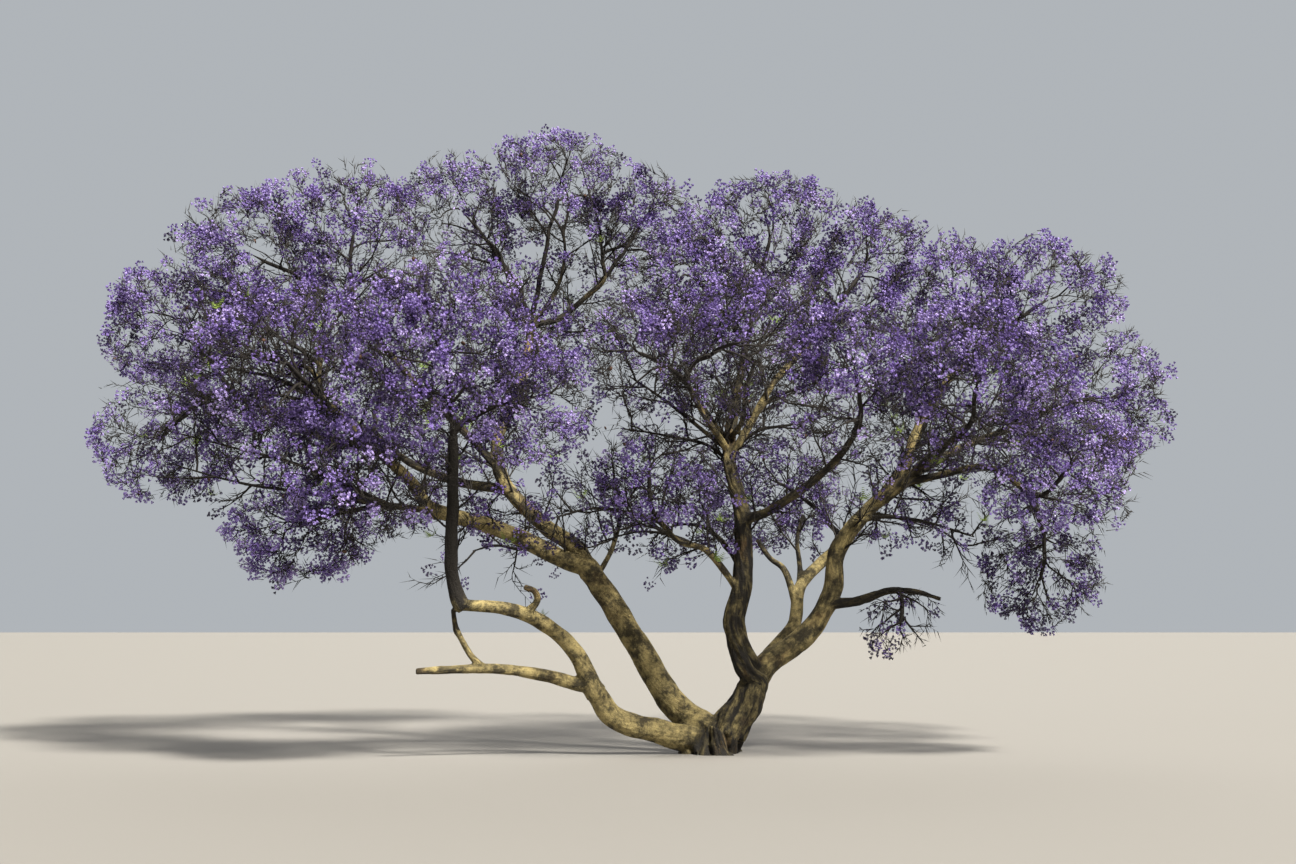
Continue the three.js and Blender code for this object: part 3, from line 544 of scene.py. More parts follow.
class Shader:
    """A new material or world and its tree, with one method that adds a node."""

    def __init__(self, made, surface="Principled BSDF"):
        made.use_nodes = True
        self.made = made
        self.tree = made.node_tree
        self.surface = self.tree.nodes[surface]

    def fill(self, target, value):
        if isinstance(value, Value):
            self.tree.links.new(value.socket, target)
        elif hasattr(target.default_value, "__len__") and len(target.default_value) == 4:
            target.default_value = (*value[:3], 1)
        else:
            target.default_value = value

    def node(self, kind, settings=None, sockets=None, output=0):
        """Adds a node with its settings, fills its sockets, and gives one of its outputs."""
        added = self.tree.nodes.new(kind)
        for name, value in (settings or {}).items():
            if name == "stops":
                self.set_stops(added.color_ramp, value)
            else:
                setattr(added, name, value)
        for key, value in (sockets or {}).items():
            self.fill(added.inputs[key], value)
        return Value(self, added.outputs[output])

    @staticmethod
    def set_stops(ramp, stops):
        """Sets a ramp's two stops, each a place and a grey."""
        for element, (place, grey) in zip(ramp.elements, stops):
            element.position = place
            element.color = (grey, grey, grey, 1)

    def between(self, share, first, second):
        """A colour between two, by a share."""
        return self.node(
            "ShaderNodeMix", {"data_type": "RGBA"}, {"Factor": share, 6: first, 7: second}, output=2)

    def fade(self, value, start, end):
        """A value that rises from 0 to 1 between two of another's."""
        return self.node("ShaderNodeValToRGB", {"stops": ((start, 0), (end, 1))}, {0: value})

    def attribute(self, name, output):
        return self.node("ShaderNodeAttribute", {"attribute_name": name}, output=output)

    def noise(self, places, scale, detail, roughness):
        return self.node(
            "ShaderNodeTexNoise", None,
            {"Vector": places, "Scale": scale, "Detail": detail, "Roughness": roughness})

    def along(self, grain, stretch, *noise):
        """Noise that is stretched along the grain."""
        factors = (1, 1, stretch)
        places = self.node("ShaderNodeVectorMath", {"operation": "MULTIPLY"}, {0: grain, 1: factors})
        return self.noise(places, *noise)

    def set(self, **sockets):
        """Fills sockets of the surface shader, with spaces written as underscores."""
        for name, value in sockets.items():
            self.fill(self.surface.inputs[name.replace("_", " ")], value)


PALE_BARK = "b8a66f"
# Painted shadow of the crown in dapples, and also the dark of the grain's streaks
SHADOW_AND_STREAK_BARK = "2e2815"
RUST_BARK = "8a6238"
# Painted shade on shaded and thin limbs, and also the dark of the bark's specks and flecks
SHADE_AND_SPECK_BARK = "17120a"
# Painted shade in the furrows, creases and folds
FURROW_SHADE_BARK = "100d07"

# The bark's patterns: their strength, the noise's scale, detail and roughness, and where they fade in. The
# first are painted dappled shadows of the crown; the others are the bark's own specks, flecks and rust.
BARK_PATTERNS = {
    "painted_dapple_shadows": (0.94, 5, 6, 0.72, 0.42, 0.59),
    "specks": (0.35, 16, 4, 0.7, 0.5, 0.68),
    "flecks": (0.3, 55, 3, 0.7, 0.5, 0.62),
    "rust": (0.7, 2.2, 3, 0.6, 0.55, 0.7),
}
# Noise along the grain: its stretch along the limb, its scale, detail and roughness
STREAKS = (0.22, 36, 4, 0.65)
RINGS = (4, 22, 3, 0.6)
# Bands of painted shade along the grain of the shaded limbs: BAND_EDGES is where they fade in, BAND_CONTRAST
# how strongly they vary it
BANDS = (0.3, 14, 4, 0.6)
BAND_EDGES = (0.42, 0.58)
BAND_CONTRAST = 3
STREAK_STRENGTH = 0.35
FURROW_SHADE_STRENGTH = 0.9
GRIT = (30, 4, 0.7)  # the scale, detail and roughness of the bark's fine relief
RELIEF_SHARES = (0.5, 0.3, 0.6)  # of the streaks, rings and grit
RELIEF_DEPTH = 0.03
RELIEF_STRENGTH = 0.9
BARK_ROUGHNESS = 0.92
STREAK_GLOSS = 0.1


def bark_material(settings):
    """Pale tan bark with painted dappled shadows, and painted shade on some limbs, on thin ones and in its
    furrows, creases and folds.
    """
    shader = Shader(bpy.data.materials.new("bark"))
    grain = shader.attribute("grain", "Vector")
    furrow = shader.attribute("furrow", "Fac")
    dim = shader.attribute("dim", "Fac")
    here = shader.node("ShaderNodeTexCoord", output="Object")
    painted_dapple_shadows, specks, flecks, rust = (
        shader.fade(shader.noise(here, *noise), start, end) * strength
        for strength, *noise, start, end in BARK_PATTERNS.values())
    streaks = shader.along(grain, *STREAKS)
    bands = shader.fade(shader.along(grain, *BANDS), *BAND_EDGES)
    # Painted dappled shadows of the crown on the pale bark
    ground = shader.between(painted_dapple_shadows, linear(PALE_BARK), linear(SHADOW_AND_STREAK_BARK))
    speckled = shader.between(specks + flecks, ground, linear(SHADE_AND_SPECK_BARK))
    streaked = shader.between(streaks * STREAK_STRENGTH, speckled, linear(SHADOW_AND_STREAK_BARK))
    rusty = shader.between(rust * dim, streaked, linear(RUST_BARK))
    # Painted shade of the crown on the shaded limbs and on thin ones, varied in bands along the grain
    banded_shade = dim + (bands - 0.5) * dim * (1 - dim) * BAND_CONTRAST
    with_painted_shade = shader.between(banded_shade, rusty, settings.painted_shade_colour)
    # Painted shade in the furrows, creases and folds
    colour = shader.between(furrow * FURROW_SHADE_STRENGTH, with_painted_shade, linear(FURROW_SHADE_BARK))
    reliefs = (streaks, shader.along(grain, *RINGS), shader.noise(here, *GRIT))
    high, middle, fine = (value * share for value, share in zip(reliefs, RELIEF_SHARES))
    bump = shader.node(
        "ShaderNodeBump", None,
        {"Strength": RELIEF_STRENGTH, "Distance": RELIEF_DEPTH, "Height": high + middle + fine})
    shader.set(Base_Color=colour, Roughness=BARK_ROUGHNESS - streaks * STREAK_GLOSS, Normal=bump)
    return shader.made


def plain_material(name, colour, roughness):
    """A material of one colour, written as six hexadecimal digits."""
    shader = Shader(bpy.data.materials.new(name))
    shader.set(Base_Color=linear(colour), Roughness=roughness)
    return shader.made


# Bark


class BarkSettings(bpy.types.PropertyGroup):
    voxel: FloatProperty(
        name="Voxel", description="Size of the grid on which the limbs grow together",
        default=0.013, min=0.005, unit="LENGTH")
    furrow: FloatProperty(
        name="Furrows", description="Depth of the furrows on the roughest stems",
        default=0.022, min=0, unit="LENGTH")
    lump: FloatProperty(
        name="Lumps", description="How far a limb swells and shrinks, over its radius",
        default=0.13, min=0, subtype="FACTOR")
    triangles: IntProperty(
        name="Triangles", description="Most triangles of the skin", default=90000, min=1000)
    # The colour of the painted shade on limbs in the crown's shadow and on thin ones
    painted_shade_colour: FloatVectorProperty(
        name="Dim limbs", description="Colour of the dimmest limbs", subtype="COLOR",
        size=3, min=0, max=1, default=linear(SHADE_AND_SPECK_BARK))


RING_SPACING = 0.045  # between the rings of a limb's first tube
RING_RESOLUTION = 5  # of the first tube's round section
SWELL = 1.06  # the bark's thickness over the bare limb
SAMPLE_SPACING = 0.02  # between the samples of limbs that the skin reads
REACH = 0.1  # from a limb's bare skin to the farthest bark that it shapes
CHUNK = 4000  # places read at once
BLEND = 0.025  # over which the bark of one limb runs into the next
LEAST_WEIGHT = 0.03
GRAIN_STARTS = 100  # limbs read their noise from different places along this many metres
SMOOTHING = {"factor": 0.5, "iterations": 6}
TWIST = 1.1  # turn of the furrows round a limb, in radians to a metre
FURROW_WIDTH = 0.06
FURROW_LENGTH = 0.55
FURROW_EDGE = 0.25  # value of the ridges' noise up to which a furrow reaches
FURROW_SHADE = 0.8
SMALL_RIDGES = 0.3  # share of the small ridges in the furrows' noise
SMALL_LUMPS = 0.05  # their height over the limb's radius
LUMP_LENGTH = 0.26
# Thin limbs are darker all over: partly their own darker wood and partly painted shade
THINNEST = 0.025  # radius under which bark is dim all over
STOUT_ENOUGH = 0.06  # radius over which it is as pale as its limb
FOLDED = ("trunk", "centre_stem")
FOLDS = 3
FOLD_DEPTH = 0.075
FOLD_SHARPNESS = 5
FOLD_TURN = 3.2  # turn of the folds round the trunk, in radians to a metre
FOLD_WAVER = 0.5
FOLD_HEIGHT = 1.1  # folds fade out at this height
FOLD_FADE = 1.5  # and are whole up to a third of it

# How rough the bark of a limb is, and how much of the crown's shade is painted on it, for those that aren't
# smooth and pale
LOOKS = {
    "trunk": (1, 0.7), "centre_stem": (0.8, 0.78), "right_stem": (0.35, 0.3), "left_shoot": (0.3, 1),
    "cross_limb": (0.3, 0.9), "right_low_limb": (0.4, 0.92), "low_left_stem": (0.3, 0.1),
    "right_arch_limb": (0.2, 0.8), "right_side_limb": (0.2, 0.75), "right_high_limb": (0.2, 0.75),
    "centre_arm": (0.2, 0.4), "left_front_limb": (0.2, 0.25), "left_far_limb": (0.2, 0.95),
    "left_low_limb": (0.2, 0.8), "left_top_limb": (0.2, 0.9), "left_back_limb": (0.2, 0.85),
    "left_crown_limb": (0.2, 0.45), "rear_right_limb": (0.2, 0.95), "right_top_limb": (0.2, 0.25),
    "centre_left_limb": (0.2, 0.25), "centre_right_limb": (0.2, 0.15),
}
PLAIN_LOOK = (0.15, 0.08)
TRUNK_LOOK_RUN = 0.4  # over which the trunk's look runs out into the limbs that leave it


def noises(places):
    """Smooth noise from about -1 to 1 at each place."""
    return np.array([noise.noise(place) for place in places])


def skin_of(limb, places):
    """The places that a limb may shape, how high they lie over it, and their run, angle and radius."""
    centres, headings, sides, radii, shares = limb.rings(SAMPLE_SPACING)
    reach = radii.max() + REACH
    inside = (places > centres.min(0) - reach) & (places < centres.max(0) + reach)
    index = np.flatnonzero(inside.all(1))
    nearest = np.concatenate([
        (np.linalg.norm(places[part, None] - centres, axis=2) - radii).argmin(1)
        for part in np.split(index, range(CHUNK, len(index), CHUNK))])
    off = places[index] - centres[nearest]
    heading, side = headings[nearest], sides[nearest]
    along = (off * heading).sum(1)
    across = np.cross(heading, side)
    angle = np.arctan2((off * across).sum(1), (off * side).sum(1))
    run = shares[nearest] * limb.curve.length + along
    return index, np.linalg.norm(off, axis=1) - radii[nearest], run, angle, radii[nearest]


def look(limb, run):
    """How rough a limb's bark is along its run, and how much shade is painted on it."""
    own = np.array(LOOKS.get(limb.name, PLAIN_LOOK))
    if LIMBS.get(limb.name, ("",))[0] != "trunk":
        return np.tile(own, (len(run), 1)).T
    share = np.clip(run / TRUNK_LOOK_RUN, 0, 1)[:, None]
    return mix(np.array(LOOKS["trunk"]), own, share).T


def relief(limb, run, angle, radius, rough, settings):
    """How far out a limb's bark stands, how much shade is painted in its furrows, creases and folds, and its
    coordinates along the grain.
    """
    turned = angle + TWIST * run
    start = SEED_STEP * len(limb.name) % GRAIN_STARTS
    grain = np.column_stack([np.cos(turned) * radius, np.sin(turned) * radius, run + start])
    ridges = noises(grain / (FURROW_WIDTH, FURROW_WIDTH, FURROW_LENGTH))
    small = noises(grain / (FURROW_WIDTH / 2, FURROW_WIDTH / 2, FURROW_LENGTH / 3))
    valley = np.clip(1 - np.abs(ridges + SMALL_RIDGES * small) / FURROW_EDGE, 0, 1)
    out = settings.lump * radius * noises(grain / LUMP_LENGTH) + SMALL_LUMPS * radius * small
    out -= settings.furrow * rough * valley
    # Painted shade in the furrows
    furrow = FURROW_SHADE * valley * rough
    if limb.name == "trunk":
        flare = limb.flare(run / limb.curve.length)
        lobes = np.abs(np.cos(ROOT_LOBES / 2 * (angle + LOBE_TWIST * run)))
        crease = np.clip(1 - lobes / CREASE, 0, 1) * flare
        out += radius * (LOBE_DEPTH * flare * (2 * lobes - 1) - CREASE_DEPTH * crease)
        # Painted shade in the creases between the root lobes
        furrow = np.maximum(furrow, crease)
    if limb.name in FOLDED:
        low = np.clip(FOLD_FADE - FOLD_FADE * run / FOLD_HEIGHT, 0, 1)
        waver = FOLD_WAVER * noises(grain / LUMP_LENGTH)
        fold = (0.5 + 0.5 * np.cos(FOLDS * (angle + waver) + FOLD_TURN * run)) ** FOLD_SHARPNESS * low
        out -= FOLD_DEPTH * fold
        # Painted shade in the folds
        furrow = np.maximum(furrow, fold)
    return out, furrow, grain


def read_bark(places, settings):
    """For places on the skin: how far out the bark stands, the shade painted in its furrows, the shade
    painted on its limb, and its grain.
    """
    lies = [(limb, *skin_of(limb, places)) for limb in limbs().values()]
    least = np.full(len(places), np.inf)
    for _, index, height, *_ in lies:
        least[index] = np.minimum(least[index], height)
    weights = np.zeros(len(places))
    sums = np.zeros((len(places), 3))
    grains = np.zeros((len(places), 3))
    for limb, index, height, run, angle, radius in lies:
        weight = np.exp((least[index] - height) / BLEND)
        kept = weight > LEAST_WEIGHT
        index, weight, radius, height = index[kept], weight[kept], radius[kept], height[kept]
        rough, dim = look(limb, run[kept])
        out, furrow, grain = relief(limb, run[kept], angle[kept], radius, rough, settings)
        # Thin limbs get this darkening all over, partly their own darker wood and partly painted shade
        dim = np.maximum(dim, 1 - np.clip((radius - THINNEST) / (STOUT_ENOUGH - THINNEST), 0, 1))
        weights[index] += weight
        sums[index] += weight[:, None] * np.column_stack([out, furrow, dim])
        mine = height <= least[index]
        grains[index[mine]] = grain[mine]
    out, furrow, dim = (sums / np.maximum(weights, 1e-9)[:, None]).T
    return out, furrow, dim, grains


def limb_tube(limb):
    """A limb as a tube: a curve object with a round section, made a mesh."""
    centres, _, _, radii, _ = limb.rings(RING_SPACING)
    curve = bpy.data.curves.new(limb.name + "_tube", "CURVE")
    curve.dimensions = "3D"
    curve.bevel_depth = 1
    curve.bevel_resolution = RING_RESOLUTION
    curve.use_fill_caps = True
    spline = curve.splines.new("POLY")
    spline.points.add(len(centres) - 1)
    for point, centre, radius in zip(spline.points, centres, radii):
        point.co = (*centre, 1)
        point.radius = radius * SWELL
    tube = bpy.data.objects.new(limb.name + "_tube", curve)
    bpy.context.scene.collection.objects.link(tube)
    return tube


class JACARANDA_OT_bark(bpy.types.Operator):
    """Lays one skin of furrowed bark over the trunk and all limbs"""

    bl_idname = "jacaranda.bark"
    bl_label = "Bark"

    def execute(self, context):
        settings = context.scene.jacaranda_bark
        tubes = [limb_tube(limb) for limb in limbs().values()]
        choose(*tubes)
        bpy.ops.object.convert(target="MESH")
        bpy.ops.object.join()
        bark = context.view_layer.objects.active
        bark.name = bark.data.name = "bark"
        add_modifier(bark, "REMESH", mode="VOXEL", voxel_size=settings.voxel)
        add_modifier(bark, "SMOOTH", **SMOOTHING)
        places = places_of(bark.data)
        normals = np.empty(3 * len(places), np.float32)
        bark.data.vertices.foreach_get("normal", normals)
        out = read_bark(places, settings)[0]
        set_places(bark.data, places + normals.reshape(-1, 3) * out[:, None])
        bpy.ops.object.mode_set(mode="EDIT")
        bpy.ops.mesh.select_all(action="SELECT")
        bpy.ops.mesh.bisect(plane_co=(0, 0, 0), plane_no=(0, 0, 1), use_fill=True, clear_inner=True)
        bpy.ops.object.mode_set(mode="OBJECT")
        bark.data.calc_loop_triangles()
        ratio = settings.triangles / len(bark.data.loop_triangles)
        if ratio < 1:
            add_modifier(bark, "DECIMATE", ratio=ratio)
        places = places_of(bark.data)
        places[:, 2] = np.maximum(places[:, 2], 0)
        set_places(bark.data, places)
        _, furrow, dim, grain = read_bark(places, settings)
        set_attribute(bark.data, "grain", grain)
        # The painted shade in the furrows and on the limbs, for the bark's material
        set_attribute(bark.data, "furrow", furrow)
        set_attribute(bark.data, "dim", dim)
        bpy.ops.object.shade_smooth()
        finish_piece(bark, bark_material(settings), ["trunk", *LIMBS])
        return {"FINISHED"}


# Twigs


class TwigSettings(bpy.types.PropertyGroup):
    sites: IntProperty(
        name="Sites", description="Blossoming twigs that a mass of one metre's reach may grow",
        default=262, min=10)
    tip_radius: FloatProperty(
        name="Tip", description="Radius at a twig's tip", default=0.0045, min=0.0005, unit="LENGTH")
    shoot_spacing: FloatProperty(
        name="Shoots", description="Way along a limb between the shoots that leave it",
        default=0.22, min=0.05, unit="LENGTH")
    wander: FloatProperty(
        name="Wander", description="How far a twig strays from its even bend, over its length",
        default=0.07, min=0, subtype="FACTOR")


# What grows in a mass: sites for each square metre of the reach squared, or None for the setting's, how
# far out they lie in shares of the open way, the largest radius, the steps, and where others may leave
GENERATIONS = {
    "branch": {"sites": 9, "depth": (0.42, 0.62), "radius": 0.03, "steps": 5,
               "joints": (0.3, 0.5, 0.7, 0.85, 1)},
    "branchlet": {"sites": 42, "depth": (0.62, 0.88), "radius": 0.017, "steps": 3,
                  "joints": (0.35, 0.6, 0.8, 1)},
    "twig": {"sites": None, "depth": (0.5, 1), "radius": 0.0095, "steps": 2, "joints": (0.5, 0.75)},
}
SIDES = {"stem": 7, "branch": 5, "branchlet": 4, "twig": 3, "twiglet": 3}
# The twigs' own dark brown, made darker still as painted shade of the crown
TWIG_WOOD_AND_SHADE = "19130c"
TWIG_ROUGHNESS = 0.85
STEM_STEPS = 9
STEM_JOINTS = (0.3, 0.42, 0.55, 0.68, 0.8, 0.9, 1)
FORK_SHARE = 0.62  # a twig's radius over that of what it leaves
TAPER = 0.6  # radius at the tip over that at the foot, but for the last twigs
CROWDING = 0.7  # power of the draws of depth: under 1 sets more twigs near the outer face
DEEPEST_BAY = 0.5  # value of the noise at which a bay is deepest
HEADING_STEP = 0.05  # share of a wood's length over which its heading is read
INNER_SHARE = 0.5  # share of the sites that face a neighbouring mass which still bear a twig
CHECKS = np.array([0.3, 0.45, 0.6, 0.75, 0.9, 1])  # shares of a twig at which it is tested
MARCH = np.arange(1.2, 0, -0.04)  # shares of the reach at which the way out is tested
TIP_ROOM = 0.14  # between blossoming twig ends and the mass's outer face

# Columns in the table of joints
PLACE, HEADING, RADIUS, RUN, USED = slice(0, 3), slice(3, 6), 6, 7, 8
ROOM = 6  # a column of the twig ends, which have places and headings too

# Shoots that leave the limbs themselves
SHOOT_HEIGHTS = (2.4, 7.2)  # of their feet
SHOOT_LENGTHS = (0.35, 1)
SHOOT_RADII = (0.015, 0.005)  # at the foot and the tip
SHOOT_STEPS = (4, 3)  # of a shoot and of its twigs
SHOOT_ZERO = (0.3, 0.2, 1)  # turns round a limb are counted from square to this
SHOOT_JOINTS = (0.25, 0.4, 0.55, 0.7, 0.85)
SHOOT_GAPS = (0.6, 1.4)  # between shoots, over their even spacing
SHOOT_TWIG = 0.5  # middling twig of a shoot over its own length
SHOOT_TWIGS = (0.6, 1.2)  # its twigs over that
SHOOT_BLOSSOM = 0.35
SHOOT_DROOP = 0.5
SHOOT_LEAN = 0.5  # how much a shoot leans along its limb
SHOOT_LIFTS = (0.25, 0.2)  # how much it rises at its foot and at its tip
SHOOT_FORKS = 0.9  # how far its twigs spread
SHOOT_TAPER = (0.6, 0.35)  # radii of its first and last twig over its own


class Balls:
    """The flattened balls of all masses, and how deep places lie in them."""

    def __init__(self):
        self.names = list(MASSES)
        self.centres = np.array([centre for _, _, centre, *_ in MASSES.values()])
        self.reaches = np.array([reach for _, _, _, reach, *_ in MASSES.values()])
        self.squashed = self.squash(self.centres)

    @staticmethod
    def squash(places):
        return places / (1, 1, FLATTEN)

    def depth(self, places, index):
        """How deep places lie under the balls' joined face, and how far from the neighbours' borders."""
        apart = np.linalg.norm(self.squash(places)[:, None] - self.squashed[None], axis=2)
        power = apart**2 - self.reaches**2
        between = np.linalg.norm(self.squashed - self.squashed[index], axis=1)
        others = np.arange(len(self.names)) != index
        border = (power[:, others] - power[:, [index]]) / (2 * between[others])
        face = MELT * np.log(np.exp((self.reaches - apart) / MELT).sum(axis=1))
        return face, border.min(axis=1)


@functools.cache
def limb_tree():
    """The samples of all limbs that twigs keep clear of, and their radii."""
    rings = [limb.rings(2 * SAMPLE_SPACING) for limb in limbs().values()]
    centres = np.concatenate([r[0] for r in rings])
    radii = np.concatenate([r[3] for r in rings])
    tree = KDTree(len(centres))
    for i, centre in enumerate(centres):
        tree.insert(centre, i)
    tree.balance()
    return tree, radii


class Growth:
    """Woods as they grow, with the joints that others may leave and the tips that may bear blossom."""

    def __init__(self, seed, settings):
        self.random = np.random.default_rng(1 + SEED_STEP * seed)
        self.settings = settings
        self.woods = {kind: [] for kind in SIDES}
        self.ends = []  # for each twig its end, the way it heads, its room and its chance of blossom
        self.joints = np.empty((0, USED + 1))

    def add_wood(self, kind, controls, radii, steps, run=0, joints=()):
        """Adds a bent piece of wood and its joints, and gives the way it heads at its end."""
        shares = np.linspace(0, 1, steps + 1)
        centres = bezier(controls, shares)
        length = np.linalg.norm(np.diff(centres, axis=0), axis=1).sum()
        stray = self.random.normal(0, 1, centres.shape) * length * self.settings.wander / steps
        stray[0] = stray[-1] = 0
        self.woods[kind].append((centres + stray, mix(*radii, shares)))
        joints = np.array(joints)
        places = bezier(controls, joints)
        after, before = np.minimum(joints + HEADING_STEP, 1), joints - HEADING_STEP
        headings = unit(bezier(controls, after) - bezier(controls, before))
        self.joints = np.vstack([self.joints, np.column_stack([
            places, headings, mix(*radii, joints), run + joints * length, np.zeros(len(joints))])])
        return unit(controls[2] - controls[1])

    def add_twiglets(self, kind):
        """Sets a row of straight twiglets along each wood of a kind."""
        woods = np.array([centres for centres, _ in self.woods[kind]])
        lengths = np.linalg.norm(woods[:, -1] - woods[:, 0], axis=1)
        steps = woods.shape[1] - 1
        for share in TWIGLETS:
            step = int(share * steps)
            starts = mix(woods[:, step], woods[:, step + 1], share * steps - step)
            headings = unit(woods[:, step + 1] - woods[:, step])
            sides = unit(np.cross(headings, self.random.normal(0, 1, headings.shape)))
            lift = (0, 0, TWIGLET_LIFT - TWIGLET_DROOP * self.droop)
            onward = unit(headings + TWIGLET_SPREAD * sides + lift)
            reach = lengths * self.random.uniform(*TWIGLET_LENGTHS, len(lengths))
            reach = np.minimum(reach, self.random.uniform(*LONGEST_TWIGLETS, len(lengths)))
            ends = starts + onward * reach[:, None]
            inside, room = self.rooms(ends)
            inside &= self.random.random(len(ends)) < open_share(ends) ** TWIGLET_OPENING
            for start, end, way, left in zip(*(a[inside] for a in (starts, ends, onward, room))):
                self.woods["twiglet"].append((np.array([start, end]), (TWIGLET_RADIUS, 0)))
                self.ends.append((end, way, left, TWIGLET_BLOSSOM))

    def rooms(self, places):
        """Which places are inside the growth's space, and how deep they lie under its outer face."""
        return np.ones(len(places), bool), np.full(len(places), np.inf)

    def bear(self, fullness):
        """Sorts the ends into those that bear blossom, by a chance that is high in clumps, and bare ones."""
        places, headings, rooms, chances = (np.array(values) for values in zip(*self.ends))
        chances = chances * BEARING * fullness(places) * (1 + CLUMPING * noises(places / CLUMP))
        bears = (self.random.random(len(places)) < chances) & (rooms > TIP_ROOM)
        ends = np.column_stack([places, headings, rooms])
        self.tips, self.bare_tips = ends[bears], ends[~bears]


class Shoots(Growth):
    """Shoots that leave the limbs all round, each with a few twigs."""

    def __init__(self, settings):
        super().__init__(len(MASSES), settings)
        self.name = "shoots"
        self.droop = SHOOT_DROOP
        for limb in limbs().values():
            turn = self.random.uniform(0, 2 * math.pi)
            run = settings.shoot_spacing
            while run < limb.curve.length:
                share = run / limb.curve.length
                if SHOOT_HEIGHTS[0] < limb.curve.at(share)[2] < SHOOT_HEIGHTS[1]:
                    self.add_shoot(limb, share, turn)
                turn += GOLDEN_ANGLE
                run += settings.shoot_spacing * self.random.uniform(*SHOOT_GAPS)
        self.add_twiglets("twig")
        self.bear(lambda places: SHOOT_BLOSSOM)

    def add_shoot(self, limb, share, turn):
        """Adds a shoot that leaves a limb at a share of its length, and the shoot's twigs."""
        place, heading = limb.curve.at(share), limb.curve.heading(share)
        side = unit(np.cross(heading, SHOOT_ZERO))
        away = side * math.cos(turn) + np.cross(heading, side) * math.sin(turn)
        length = self.random.uniform(*SHOOT_LENGTHS)
        onward = unit(away + SHOOT_LEAN * heading + (0, 0, SHOOT_LIFTS[0]))
        end = place + (onward + (0, 0, SHOOT_LIFTS[1])) * length
        controls = (place, place + onward * LEAD * length, end)
        onward = self.add_wood("branchlet", controls, SHOOT_RADII, SHOOT_STEPS[0])
        self.ends.append((end, onward, np.inf, 1))
        for joint in SHOOT_JOINTS:
            start = bezier(controls, joint)
            spread = self.random.normal(0, 1, 3)
            twig = length * SHOOT_TWIG * self.random.uniform(*SHOOT_TWIGS)
            end = start + unit(onward + SHOOT_FORKS * unit(spread)) * twig
            bend = start + onward * LEAD * twig
            radii = (SHOOT_RADII[0] * mix(*SHOOT_TAPER, joint), self.settings.tip_radius)
            way = self.add_wood("twig", (start, bend, end), radii, SHOOT_STEPS[1])
            self.ends.append((end, way, np.inf, 1))


